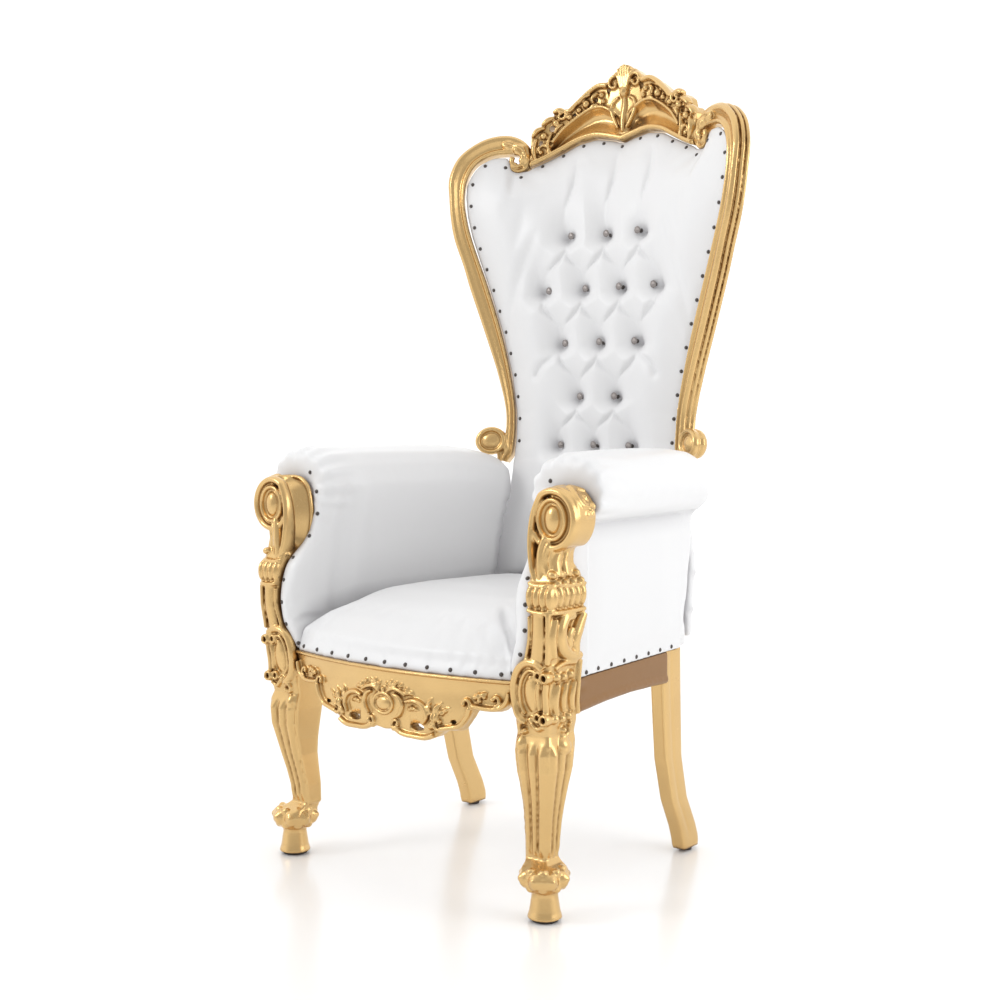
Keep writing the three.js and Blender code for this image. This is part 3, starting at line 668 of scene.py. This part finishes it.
def shank(n=176):
    """Leg and post below the head, with the reeds and hollows worked into its two outer faces."""
    heights = np.unique(np.concatenate([np.arange(0.006, 0.740, 0.0035), POST[:, 0]]))
    rings = []
    for z in heights:
        x0, x1, y0, y1, square = [read(POST, z, k) for k in range(1, 6)]
        a = (np.arange(n) + 0.5) / n * 2 * np.pi - 0.75 * np.pi
        x, y = rounded(a, 2 + 9 * square)
        front = ease(0.80, 0.97, -y)
        outer = ease(0.80, 0.97, x)
        rise = 0.0
        for face, t in ((front, x), (outer, -y)):
            reeds = np.abs(np.cos(t * np.pi * 1.75)) ** 0.6 - 0.65
            r = 0.0140 * reeds * ease(0.112, 0.140, z) * (1 - ease(0.325, 0.352, z))
            r = r - 0.004 * ease(0.500, 0.515, z) * (1 - ease(0.585, 0.595, z)) * (np.abs(t) < 0.93)
            rise = rise + face * r
        px = (x0 + x1) / 2 + x * (x1 - x0) / 2 + outer * rise
        py = (y0 + y1) / 2 + y * (y1 - y0) / 2 - front * rise
        rings.append(np.stack([px, py, np.full(n, z)], 1))
    return loft(rings)


def head_block():
    """Body of the scrolled head, a deep cove worked along its inner cheek."""
    outline = curve(table((389, 660), (388, 698), (396, 715), (418, 722), (434, 742), (441, 770),
        (437, 798), (420, 820), (390, 832), (356, 829), (330, 812), (317, 778), (314, 740), (321, 700),
        (334, 650)), 120)
    rings = []
    for y in np.linspace(HEAD_REAR, HEAD_FACE, 44):
        t = (HEAD_REAR - y) / (HEAD_REAR - HEAD_FACE)
        middle = np.array([0.385, 0.765])
        shrink = 0.004 * (hill(t, 0, 0.06) + hill(t, 1, 0.05))
        flat = outline + (middle - outline) * (shrink / 0.06)
        cheek = ease(0.385, 0.335, outline[:, 0]) * ease(0.655, 0.70, outline[:, 1])
        bite = 0.034 * (1 - (1 - t) ** 2.2) + 0.006 * math.sin(math.pi * t)
        lean = np.clip((outline[:, 1] - 0.80) / 0.03, 0, 1)
        flat = flat + np.stack([bite * cheek, -0.35 * bite * cheek * lean], 1)
        rings.append(np.stack([flat[:, 0], np.full(len(flat), y), flat[:, 1]], 1))
    return loft(np.array(rings)[::-1])


def tapered(size, start=0.45):
    """Band width that swells in the middle of its run."""
    return lambda t: size * (start + (1 - start) * math.sin(math.pi * min(max(t, 0.02), 0.98)) ** 0.6)


def upright_carving():
    out = []
    eye = cx, cz = 1000 * SCROLL_AT[0], 1000 * SCROLL_AT[1]
    # head: outer rim that runs down into the long inner band, then a ringed oval eye
    rim = [(cx + 49 * math.cos(a), cz + 53 * math.sin(a)) for a in np.radians(np.arange(-150, 121, 18))]
    rim += [(352, 808), (340, 780), (335, 745), (336, 710), (342, 675), (354, 648)]
    out.append(strip(on_head, rim, 7.8, lambda t: 13 + 8 * ease(0.75, 1.0, t), -3))
    out.append(ring(on_head, eye, 31, 4.6, 10, 0, 37))
    out.append(bead(on_head, eye, 18, 13, -1, 27))
    # thin bead where the cove meets the leather
    edge = [(372, 829), (345, 824), (325, 806), (316, 776), (313, 742), (319, 705), (330, 672), (340, 648)]
    out.append(strip(on_cheek, edge, 4.5, 6))
    # leaves that fall from under the scroll to the collar
    for points, w, h in (
            ([(369, 738), (362, 715), (360, 690), (360, 664), (370, 652)], 11.8, 21),
            ([(378, 728), (371, 706), (369, 684), (376, 662)], 8.5, 18),
            ([(389, 722), (383, 706), (381, 688), (384, 670)], 7, 14)):
        out.append(strip(on_head, points, tapered(w), tapered(h, 0.7), -4))
    out += strips(on_side,
        ([(-22, 664), (-18, 690), (-10, 716)], tapered(12), 9),
        ([(4, 664), (6, 690), (12, 716)], tapered(11), 9))
    # side of the roll: a curled leaf high at the rear
    out.append(strip(on_roll, [(28, 820), (4, 826), (-10, 812), (-4, 796), (12, 792)], tapered(6.5), 7))
    out += scroll(on_roll, (12, 806), 11, 4, 180, 420, 4.5, 7)
    out.append(leaf(on_roll, [(32, 800), (14, 782), (-4, 780)], 8, 8, 3))
    # two bands of small curls, then a gadrooned collar over a half-round
    for k in range(4):
        out.append(bead(on_side, (-36 + 24 * k, 668), 8.5, 10, 0, 8))
        out.append(bead(on_side, (-26 + 24 * k, 653), 8.5, 11, 0, 8))
    for k in range(4):
        x = 348 + 15 * k
        out.append(bead(on_front, (x, 626.5), 9, 14, -3, 25))
    for k in range(6):
        y = -38 + 17.5 * k
        out.append(bead(on_side, (y, 626.5), 9.8, 13, -3, 25))
    out += strips(on_wrap,
        ([(-50, 602), (-36, 598), (-16, 597), (4, 598), (40, 597), (102, 598)], 5.6, 10, 0, 90),
        ([(-52, 652), (-40, 648), (-20, 648), (6, 650), (50, 646), (102, 646)], 4.6, 8, 0, 90))
    # column: broad centre reed between bead strips
    out += strips(on_front,
        ([(369, 592), (368, 550), (361, 508)], lambda t: 13.5 + 2 * t, 8.5, 0),
        ([(391, 594), (390, 550), (385, 500)], 4.5, 8),
        ([(348, 590), (347, 550), (336, 508)], 3.6, 7))
    # side face of the column: one big leaf that turns over, on a ribbed ground
    out += strips(on_side,
        ([(50, 508), (20, 512), (-8, 530), (-18, 560), (-4, 586), (22, 588)], tapered(14.5, 0.6),
         tapered(14, 0.7)),
        ([(52, 590), (40, 565), (30, 540), (34, 515)], tapered(13.5, 0.6), 12),
        ([(16, 566), (8, 548), (14, 530)], tapered(10.5, 0.6), 11),
        ([(-34, 586), (-40, 550), (-30, 512)], tapered(8, 0.6), 9))
    # knee: scrolled arch with a sunk oval on the front, ribs on the side, ringed beads on the corner
    out += strips(on_front,
        ([(377, 490), (360, 500), (338, 500), (318, 486), (307, 460), (306, 428), (313, 402), (328, 388)],
         8.6, 13),
        ([(362, 484), (342, 486), (327, 470), (320, 444), (322, 418), (332, 402)], 4, 9))
    out.append(bead(on_front, (346, 442), 18, 9, -1, 36))
    out += strips(on_front,
        ([(368, 466), (364, 440), (366, 412)], 5, 11),
        ([(381, 464), (378, 436), (378, 408)], 6, 9))
    for y in (-22, 2, 28):
        out.append(strip(on_side, [(y + 2, 462), (y - 2, 434), (y + 2, 406)], tapered(8.5, 0.6), 12))
    out += strips(on_side,
        ([(50, 500), (46, 450), (50, 396)], 6, 9),
        ([(-30, 492), (0, 500), (36, 498)], 5.5, 9))
    for z in (476, 396):
        x = 1000 * float(read(POST, z / 1000, 2))
        out += [ring(on_front, (x - 5, z), 8.2, 3.8, 12, 3), ring(on_front, (x - 23, z + 2),
            7.4, 3.5, 9, 1), bead(on_side, (-22, z), 9.8, 12, 0.0), bead(on_side, (0, z - 2), 9.2, 11, 0.0),
            bead(on_side, (22, z), 8.8, 10, 0.0), bead(on_front, (x - 41, z - 4), 7, 8)]
    out += scroll(on_side, (12, 370), 17, 5, 60, -190, 6, 11)
    out += scroll(on_front, (326, 372), 16, 4, 60, 330, 5.8, 11)
    out.append(strip(on_front, [(346, 386), (358, 376), (372, 382)], 5, 9))
    out.append(bead(on_side, (10, 342), 17, 11, 0.0, 19))
    out.append(bead(on_front, (318, 346), 10, 8, 0.0, 15))
    # foot: curled lobes worked round the ball
    for turn in range(0, 360, 45):
        a = math.radians(turn + 12)
        out.append(ball((345.5 + 36 * math.cos(a), 36 * math.sin(a), 84), 15, 18))
        out.append(ball((345.5 + 46 * math.cos(a), 46 * math.sin(a), 86), 7.5, 8))
        b = a + math.radians(22)
        out.append(ball((345.5 + 34 * math.cos(b), 34 * math.sin(b), 99), 9.5, 9))
        out.append(ball((345.5 + 34 * math.cos(b), 34 * math.sin(b), 69), 9.5, 9))
    return out


def on_roll(points):
    """Outer side of the roll, as (y, z, out): round the drum of the scroll."""
    y, z, out = parts(points)
    up = np.clip((z - SCROLL_AT[1]) / 0.061, -0.98, 0.98)
    side = np.sqrt(1 - up * up)
    return np.stack([SCROLL_AT[0] + (0.057 + out) * side, y, SCROLL_AT[1] + (0.061 + out) * up], -1)


def ball(at, radius, tall):
    """Round lobe standing free of any panel, in millimetres."""
    u, v = np.meshgrid(np.linspace(0, 2 * np.pi, 21)[:-1], np.linspace(0.05, np.pi - 0.05, 11))
    out = radius * np.sin(v)
    skin = np.stack([at[0] + out * np.cos(u), at[1] + out * np.sin(u), at[2] - tall * np.cos(v)], 2)
    return loft(skin / 1000)


def front_upright(hand, side):
    shapes = handed([shank(), head_block()] + upright_carving(), side)
    piece = add_piece(f"carved_front_leg_{hand}", shapes, "gilding", f"front_leg_{hand}")
    return fuse(piece, 0.0021, 3, 0.50)


# ---- rear legs and rails --------------------------------------------------------------------
REAR_LEG = table((6.5, 533, 597), (30, 528, 594), (60, 517, 582), (125, 484, 547), (220, 458, 524),
                 (300, 450, 521), (380, 443, 518), (460.5, 441, 516))


def sabre_leg(hand, side):
    """Rear leg that sweeps back, its edges eased and a shallow groove down the outer face."""
    rings = []
    for z in np.linspace(REAR_LEG[0, 0], REAR_LEG[-1, 0], 90):
        y0, y1 = (read(REAR_LEG, z, k) for k in (1, 2))
        a = (np.arange(56) + 0.5) / 56 * 2 * np.pi
        x, y = rounded(a, 9)
        foot = 1 - 0.06 * hill(z, 0.006, 0.006)
        x = 0.308 + 0.0172 * x * foot
        y = (y0 + y1) / 2 + (y1 - y0) / 2 * y * foot
        x = x - 0.0022 * hill(y, y0 + 0.42 * (y1 - y0), 0.003) * (np.cos(a) > 0.5) * ease(0.02, 0.06, z)
        rings.append(np.stack([x, y, np.full(56, z)], 1))
    piece = add_piece(f"sabre_leg_{hand}", handed([loft(rings)], side), "gilding", f"rear_leg_{hand}")
    return settle(piece, ("SMOOTH", {"factor": 0.5, "iterations": 2}))


def rebuild(node, name, slot, grain, rounds, *extra):
    """A new piece that starts from a CAD solid, with its facets melted away."""
    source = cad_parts[node].data
    body = [v.co - Vector(SHIFT) for v in source.vertices], [list(p.vertices) for p in source.polygons]
    piece = add_piece(name, [body, *extra], slot, node)
    return settle(piece, ("REMESH", {"mode": "VOXEL", "voxel_size": grain}),
                  ("SMOOTH", {"factor": 0.5, "iterations": rounds}))


def points_of(piece):
    """A piece's points in the drawing frame."""
    flat = np.empty(len(piece.data.vertices) * 3)
    piece.data.vertices.foreach_get("co", flat)
    return flat.reshape(-1, 3) - SHIFT


def set_points(piece, points):
    piece.data.vertices.foreach_set("co", (points + SHIFT).ravel())
    piece.data.update()


STUFFING_FRAMES = 20


def swell(piece, cap, held=None, pressure=4.0, fill=0.8):
    """Stuffs a closed cover: pressure pushes the leather out, and no point moves further than cap."""
    rest = points_of(piece)
    cover = piece.modifiers.new("cover", "CLOTH")
    cover.settings.use_pressure = True
    cover.settings.uniform_pressure_force = pressure
    cover.settings.effector_weights.gravity = 0.0
    cover.settings.quality = 4
    cover.settings.tension_stiffness = cover.settings.compression_stiffness = 25.0
    cover.settings.bending_stiffness = 2.0
    if held is not None:
        group = piece.vertex_groups.new(name="held")
        grip = held(rest)
        for i in np.nonzero(grip > 0.02)[0]:
            group.add([int(i)], float(grip[i]), "REPLACE")
        cover.settings.vertex_group_mass = "held"
    for f in range(1, STUFFING_FRAMES + 1):
        bpy.context.scene.frame_set(f)
    settle(piece)
    moved = points_of(piece) - rest
    length = np.linalg.norm(moved, axis=1, keepdims=True) + 1e-9
    set_points(piece, rest + moved * np.minimum(1, cap * np.tanh(length / cap) / length))
    bpy.context.scene.frame_set(1)
    piece.vertex_groups.clear()
    return piece


def finish_cover(piece):
    return settle(piece, ("SUBSURF", {"levels": 1, "render_levels": 1}))


# ---- leather ----------------------------------------------------------------------------------
BUTTONS = [(x, z) for z, xs in ((1.388, (-0.104, 0, 0.104)), (1.260, (-0.160, -0.053, 0.053, 0.160)),
                                (1.132, (-0.107, 0, 0.107)), (1.004, (-0.053, 0.053)),
                                (0.889, (-0.104, 0, 0.104))) for x in xs]
TUFT = 0.036


def border_distance(x, z):
    """How far each place on the inside back is from the gilded opening round it."""
    up = np.linspace(0.55, 1.50, 150)
    top = np.linspace(-0.372, 0.372, 420)
    line = np.concatenate([np.stack([s * opening_half(up), up], 1) for s in (-1, 1)]
                          + [np.stack([top, opening_top(top)], 1)])
    return np.min(np.hypot(x[..., None] - line[:, 0], z[..., None] - line[:, 1]), -1)


def stuffing(x, z):
    """Height of the stuffing over the frame: a soft round border, then a gentle crown."""
    edge = border_distance(x, z)
    puff = 0.040 * ease(0, 0.085, edge) + 0.020 * ease(0.06, 0.24, edge)
    for _ in range(14):
        puff[1:-1, 1:-1] = (puff[:-2, 1:-1] + puff[2:, 1:-1] + puff[1:-1, :-2] + puff[1:-1, 2:]) / 4
    return puff


def pleat(x, z, a, b, deep, sway=0.0):
    """Depth of a fold between two places: a soft valley with a crisp line at its foot."""
    ax, az, bx, bz = *a, *b
    dx, dz = bx - ax, bz - az
    long = math.hypot(dx, dz)
    t = np.clip(((x - ax) * dx + (z - az) * dz) / long ** 2, 0, 1)
    bend = sway * np.sin(2 * np.pi * t) / long
    d = np.hypot(x - ax - t * dx + bend * dz, z - az - t * dz - bend * dx)
    return deep * (0.55 * np.exp(-(d / 0.0050) ** 1.3) + 0.45 * np.exp(-(d / 0.016) ** 2))


def tufting(x, z):
    """How far the buttons and the pleats between them draw the leather in."""
    deep = np.zeros_like(x)
    for bx, bz in BUTTONS:
        up = z - bz
        d = np.hypot((x - bx + 0.18 * np.maximum(up, 0)) / 0.036, up / np.where(up > 0, 0.066, 0.026))
        near = np.hypot(x - bx, up) / 0.012
        deep = np.maximum(deep, TUFT * (0.66 * np.exp(-d ** 1.5) + 0.34 * np.exp(-near ** 1.5)))
    folds = np.zeros_like(x)
    for a in BUTTONS:
        for b in BUTTONS:
            if 0 < a[1] - b[1] < 0.14 and 0.02 < abs(a[0] - b[0]) < 0.07:
                folds = np.maximum(folds, pleat(x, z, a, b, 0.0110, 0.012 * np.sign(a[0] - b[0])))
    for bx, bz in BUTTONS[:3]:
        folds = np.maximum(folds, pleat(x, z, (bx, bz), (bx * 1.04 - 0.010, 1.59), 0.0080, 0.009))
    for s in (-1, 1):
        folds = np.maximum(folds, pleat(x, z, (s * 0.160, 1.260), (s * 0.112, 1.150), 0.009, s * 0.006))
        folds = np.maximum(folds, pleat(x, z, (s * 0.107, 1.132), (s * 0.170, 1.060), 0.008, -s * 0.004))
    return np.maximum(deep, folds) + 0.25 * np.minimum(deep, folds)


def back_cushion():
    """Inside back: deep stuffing in the gilded frame, drawn down at fifteen buttons."""
    foot, head, shaped, inset, rear = 0.572, 1.63, 1.40, 0.003, -0.0105
    rows = np.concatenate([np.linspace(foot, 0.80, 11), np.linspace(0.80, 1.46, 82)[1:],
                           np.linspace(1.46, head, 27)[1:]])[:, None]
    x = np.linspace(-1, 1, 91) * (opening_half(rows) - inset)
    top = opening_top(x) - inset
    z = np.where(rows > shaped, shaped + (rows - shaped) / (head - shaped) * (top - shaped), rows + 0 * x)
    half_here = np.minimum(opening_half(z) - inset, 0.372)
    x = np.clip(x, -half_here, half_here)
    front = np.stack([x, z, stuffing(x, z) - 0.006], 2)
    back = np.stack([x, z, np.full_like(x, rear)], 2)
    k, n = x.shape
    points = np.concatenate([front.reshape(-1, 3), back.reshape(-1, 3)])
    faces = [[r * n + i, r * n + i + 1, (r + 1) * n + i + 1, (r + 1) * n + i]
             for r in range(k - 1) for i in range(n - 1)]
    faces += [[k * n + v for v in f[::-1]] for f in faces]
    rim = list(range(n)) + [r * n + n - 1 for r in range(1, k)]
    rim += [(k - 1) * n + i for i in range(n - 2, -1, -1)] + [r * n for r in range(k - 2, 0, -1)]
    faces += [[b, a, a + k * n, b + k * n] for a, b in zip(rim, rim[1:] + rim[:1])]
    piece = add_piece("inside_back", [(on_back(points), faces)], "white_leather", "back_cushion")

    def held(p):
        rim = opening_half(p[:, 2]) - np.abs(p[:, 0])
        face = on_back(np.stack([p[:, 0], p[:, 2], np.full(len(p), -0.004)], 1))[:, 1]
        return np.maximum((rim < 0.012) * 1.0, (p[:, 1] > face) * 1.0)

    swell(piece, 0.006, held, pressure=3.0, fill=0.85)
    finish_cover(piece)
    p = points_of(piece)
    flat = np.stack([p[:, 0], p[:, 2], np.zeros(len(p))], 1)
    ahead = on_back(flat)[:, 1] - p[:, 1]                            # how far in front of the frame's face
    pull = tufting(p[:, 0], p[:, 2]) * np.clip((ahead - 0.004) / 0.03, 0, 1)
    away = on_back(flat) - on_back(flat + (0, 0, 1))
    set_points(piece, p + away * pull[:, None])
    return lighten(piece, 0.62)


def outside_back():
    piece = rebuild("outside_back", "outside_cover", "white_leather", 0.0080, 8)
    swell(piece, 0.006, pressure=2.0, fill=0.7)
    return lighten(finish_cover(piece), 0.16)


def seat():
    """Bow-fronted seat: the leather rolls over the front edge down to the nailed rail."""
    piece = rebuild("seat_cushion", "seat", "white_leather", 0.0060, 12)
    held = lambda p: np.maximum((p[:, 2] < 0.475) * 1.0, (p[:, 1] > 0.60) * 1.0)
    swell(piece, 0.012, held, pressure=4.0, fill=0.9)
    finish_cover(piece)
    p = points_of(piece)
    lip = ease(0.482, 0.462, p[:, 2]) * ease(0.05, 0.0, p[:, 1])
    set_points(piece, p - np.outer(lip, (0.0, 0.002, 0.005)))
    return lighten(piece, 0.27)


# leather beside the post: height, inner and outer edge across, front
FACING = table((462, 288, 305, -38), (487, 288, 317, -41), (508, 292, 335, -44), (530, 298, 342, -46),
               (570, 300, 347.5, -47), (610, 299, 344, -46), (640, 298, 340, -40), (665, 296, 335, -24),
               (690, 293, 324, -4), (720, 290, 316, 12), (760, 287, 314, 23), (800, 288, 319, 27),
               (825, 296, 331, 32))


def facing():
    """Stuffed border that carries the leather forward along the inner edge of the post."""
    rings = []
    for z in np.linspace(FACING[0, 0], FACING[-1, 0], 50):
        x0, x1, y0 = (read(FACING, z, k) for k in (1, 2, 3))
        a = np.linspace(np.pi, 2 * np.pi, 15)
        c, w = (x0 + x1) / 2, (x1 - x0) / 2
        x, y = rounded(a, 3)
        front = np.stack([c + w * x, y0 + 0.020 + 0.020 * y, np.full(15, z)], 1)
        rings.append(np.vstack([front, [(x1, 0.062, z), (x0, 0.062, z)]]))
    return loft(rings)


def arm(hand, side):
    """Rolled and stuffed arm, with its border along the post and a soft fold behind it."""
    border = handed([facing()], side)
    piece = rebuild(f"arm_pad_{hand}", f"arm_{hand}", "white_leather", 0.0060, 8, *border)
    swell(piece, 0.006, lambda p: (p[:, 2] < 0.48) * 1.0, pressure=3.0, fill=0.85)
    finish_cover(piece)
    p = points_of(piece)
    a = np.abs(p[:, 0])
    inner = ease(0.335, 0.305, a + 0.108 * (p[:, 1] - 0.06)) * (1 - ease(0.78, 0.86, p[:, 2]))
    line = 0.070 + 0.10 * (p[:, 2] - 0.50)
    fold = (0.006 * hill(p[:, 1], line, 0.022) - 0.005 * hill(p[:, 1], line + 0.045, 0.028)) * inner
    turn = np.arctan2(p[:, 2] - 0.790, a - 0.365)                    # gathers behind the scroll
    gather = 0.0024 * np.cos(17 * turn) * ease(0.150, 0.055, p[:, 1]) * ease(0.725, 0.775, p[:, 2])
    p[:, 0] += np.sign(p[:, 0]) * (fold + gather * np.cos(turn))
    p[:, 2] += gather * np.sin(turn)
    set_points(piece, p)
    return lighten(piece, 0.33)


def side_cover(hand, side):
    """Flat outer panel with a slight crown, filled out to the post."""
    turn = [(0.350, 0.036), (0.3815, 0.036), (0.3815, 0.090), (0.350, 0.090)]
    filler = handed([loft([[(x, y, z) for x, y in turn] for z in (0.4625, 0.735)])], side)
    piece = rebuild(f"side_panel_{hand}", f"side_cover_{hand}", "white_leather", 0.0030, 3, *filler)
    p = points_of(piece)
    middle = ease(0.075, 0.15, p[:, 1]) * ease(0.49, 0.40, p[:, 1])
    middle = middle * ease(0.465, 0.53, p[:, 2]) * ease(0.762, 0.70, p[:, 2])
    p[:, 0] += side * 0.005 * middle * (np.abs(p[:, 0]) > 0.376 - 0.108 * (p[:, 1] - 0.06))
    set_points(piece, p)
    return lighten(piece, 0.25)


# ---- nails and buttons ----------------------------------------------------------------------
def dome(at, out, radius, high):
    """One nail head or button, facing along out."""
    out = np.asarray(out, float) / np.linalg.norm(out)
    side = np.cross(out, (0.3, 0.2, 0.9))
    side /= np.linalg.norm(side)
    up = np.cross(out, side)
    a = np.arange(14) / 14 * 2 * np.pi
    rings = []
    for r, h in ((0.7, -0.8), (0.92, -0.2), (1.0, 0.0), (0.94, 0.32), (0.72, 0.70), (0.40, 0.92), (0.1, 1.0)):
        rings.append(at + radius * r * (np.cos(a)[:, None] * side + np.sin(a)[:, None] * up) + out * high * h)
    return loft(rings)


def spaced(path, gap):
    """Places along a polyline, about one gap apart."""
    path = np.asarray(path, float)
    run = np.concatenate([[0], np.cumsum(np.linalg.norm(np.diff(path, axis=0), axis=1))])
    count = max(2, int(round(run[-1] / gap)) + 1)
    want = np.linspace(0, run[-1], count)
    return np.stack([np.interp(want, run, path[:, k]) for k in range(path.shape[1])], 1)


NAIL_GAP = 0.054


def ray_to(piece, start, direction):
    """Where a ray meets a piece, and the way its surface faces there."""
    found, place, normal, _ = piece.ray_cast(tuple(np.array(start) + SHIFT), tuple(direction))
    return (np.array(place) - SHIFT, np.array(normal)) if found else (None, None)


def aim_at_back(x, z):
    """A ray that meets the back squarely, from in front of it."""
    start, end = on_back([(x, z, 0.2), (x, z, 0.0)])
    return start, (end - start) / np.linalg.norm(end - start)


def nails(inside_back_piece, seat_piece, arms, covers):
    shapes = []

    def drive(piece, start, direction):
        place, normal = ray_to(piece, start, direction)
        if place is not None:
            shapes.append(dome(place, normal, 0.0045, 0.0030))

    edge = []
    for z in np.linspace(0.90, 1.50, 60):
        edge.append((float(opening_half(z)) - 0.012, z))
    for a in np.linspace(0.355, 0.300, 14):
        edge.append((a, float(opening_top(a)) - 0.014))
    edge += [(0.285, 1.566), (0.262, 1.540)]
    for a in np.linspace(0.235, 0.0, 30):
        edge.append((a, float(read(CREST_LOW, a)) - 0.012))
    for x, z in spaced(edge, NAIL_GAP):
        for s in ((-1, 1) if x > 0.005 else (1,)):
            drive(inside_back_piece, *aim_at_back(s * x, z))
    front = [(x, -0.30, 0.4700) for x in np.linspace(-0.272, 0.272, 40)]
    for x, y, z in spaced(front, NAIL_GAP):
        drive(seat_piece, (x, y, z), (0, 1, 0))
    border = table((334, 838), (313, 808), (304, 775), (302, 742), (308, 705), (323, 664),
              (330, 640), (337, 590), (336, 550), (327, 517), (308, 488), (298, 474))
    for x, z in spaced(curve(border, 60), NAIL_GAP * 0.92):
        for s in (-1, 1):
            for piece in arms:
                if (piece.data.vertices[0].co.x > 0) == (s > 0):
                    drive(piece, (s * (x - 0.004), -0.30, z), (0, 1, 0))
    for s in (-1, 1):
        for piece in covers:
            for y in np.arange(0.085, 0.500, NAIL_GAP * 0.98):
                drive(piece, (s * 0.6, y, 0.4695), (-s, 0, 0))
    return add_piece("nails", shapes, "dark_nickel")


def buttons(inside_back_piece):
    """Dark buttons sunk in the tufts."""
    shapes = []
    for x, z in BUTTONS:
        start, aim = aim_at_back(x, z)
        shapes.append(dome(ray_to(inside_back_piece, start, aim)[0], -aim, 0.0054, 0.0036))
    # The CAD buttons are named tuft_button_NN, so no name matches here and they still show.
    nodes = [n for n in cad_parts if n.startswith("button")]
    return add_piece("tuft_buttons", shapes, "dark_nickel", *nodes)


# The rails take gilding_shade, the gold painted darker as painted shade.
def rails():
    for name, side in PAIR:
        rail = rebuild(f"side_rail_{name}", f"long_rail_{name}", "gilding_shade", 0.0025, 3)
        p = points_of(rail)
        face = ease(0.006, 0.0, np.abs(p[:, 0]).max() - np.abs(p[:, 0]))
        p[:, 0] += side * face * (0.003 * hill(p[:, 2], 0.452, 0.007) - 0.004 * hill(p[:, 2], 0.437, 0.006))
        set_points(rail, p)
        lighten(rail, 0.5)
    lighten(rebuild("rear_rail", "low_rear_rail", "gilding_shade", 0.003, 3), 0.3)


def glides():
    for foot in ("front_glide_left", "front_glide_right", "rear_glide_left", "rear_glide_right"):
        low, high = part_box(foot)
        middle, size = (low + high) / 2 - Vector(SHIFT), (high - low)
        a = np.arange(40) / 40 * 2 * np.pi
        rings = [np.stack([middle.x + size.x / 2 * r * np.cos(a), middle.y + size.y / 2 * r * np.sin(a),
                           np.full(40, low.z + size.z * h)], 1)
                 for r, h in ((0.90, 0.0), (0.97, 0.08), (1.0, 0.25), (1.0, 0.85), (0.96, 1.0))]
        add_piece(foot.replace("glide", "pad"), [loft(rings)], "glide", foot)


# ---- build ------------------------------------------------------------------------------------
for pair in PAIR:
    back_stile(*pair)
    front_upright(*pair)
crest_rail()
front_apron()
for pair in PAIR:
    sabre_leg(*pair)
rails()
glides()
inside = back_cushion()
outside_back()
seat_piece = seat()
arms = [arm(*pair) for pair in PAIR]
covers = [side_cover(*pair) for pair in PAIR]
nails(inside, seat_piece, arms, covers)
buttons(inside)

# ---- floor and light ----------------------------------------------------------------------------
floor_data = bpy.data.meshes.new("floor")
floor_data.from_pydata([(-9, -9, 0), (9, -9, 0), (9, 9, 0), (-9, 9, 0)], [], [[0, 1, 2, 3]])
floor = stand("floor", floor_data)
floor_finish = Shader("floor_finish")
floor_data.materials.append(floor_finish.surface(Base_Color=(0.93, 0.93, 0.93, 1.0), Roughness=0.22))


def lamp(name, place, aim, size, watts):
    light = bpy.data.lights.new(name, "AREA")
    light.shape, light.size, light.energy = "SQUARE", size, watts
    holder = stand(name, light)
    holder.location = place
    holder.rotation_euler = (Vector(aim) - Vector(place)).to_track_quat("-Z", "Y").to_euler()


lamp("key", (-1.9, -3.2, 3.0), (0, 0, 0.9), 1.2, 34)
lamp("side", (3.4, 0.6, 1.8), (0, 0, 0.9), 2.0, 30)
lamp("rear", (-1.5, 3.0, 2.4), (0, 0, 1.0), 2.6, 7)
world = bpy.data.worlds.new("studio")
bpy.context.scene.world = world
sky = Shader("studio", world)
toward = sky.node("ShaderNodeVectorMath", {"operation": "DOT_PRODUCT"},
                  {0: sky.node("ShaderNodeTexCoord", {}, {}, "Generated"), 1: (0.66, -0.75, 0.0)}, "Value")
level = sky.node("ShaderNodeMapRange", {"interpolation_type": "SMOOTHSTEP"},
                 {"Value": toward, "From Min": 0.10, "From Max": 0.80, "To Min": 1.22, "To Max": 0.62})
sky.node("ShaderNodeOutputWorld", {}, {"Surface": sky.node("ShaderNodeBackground", {},
         {"Color": (1.0, 1.0, 1.0, 1.0), "Strength": level})})
bpy.context.scene.view_settings.view_transform = "Standard"
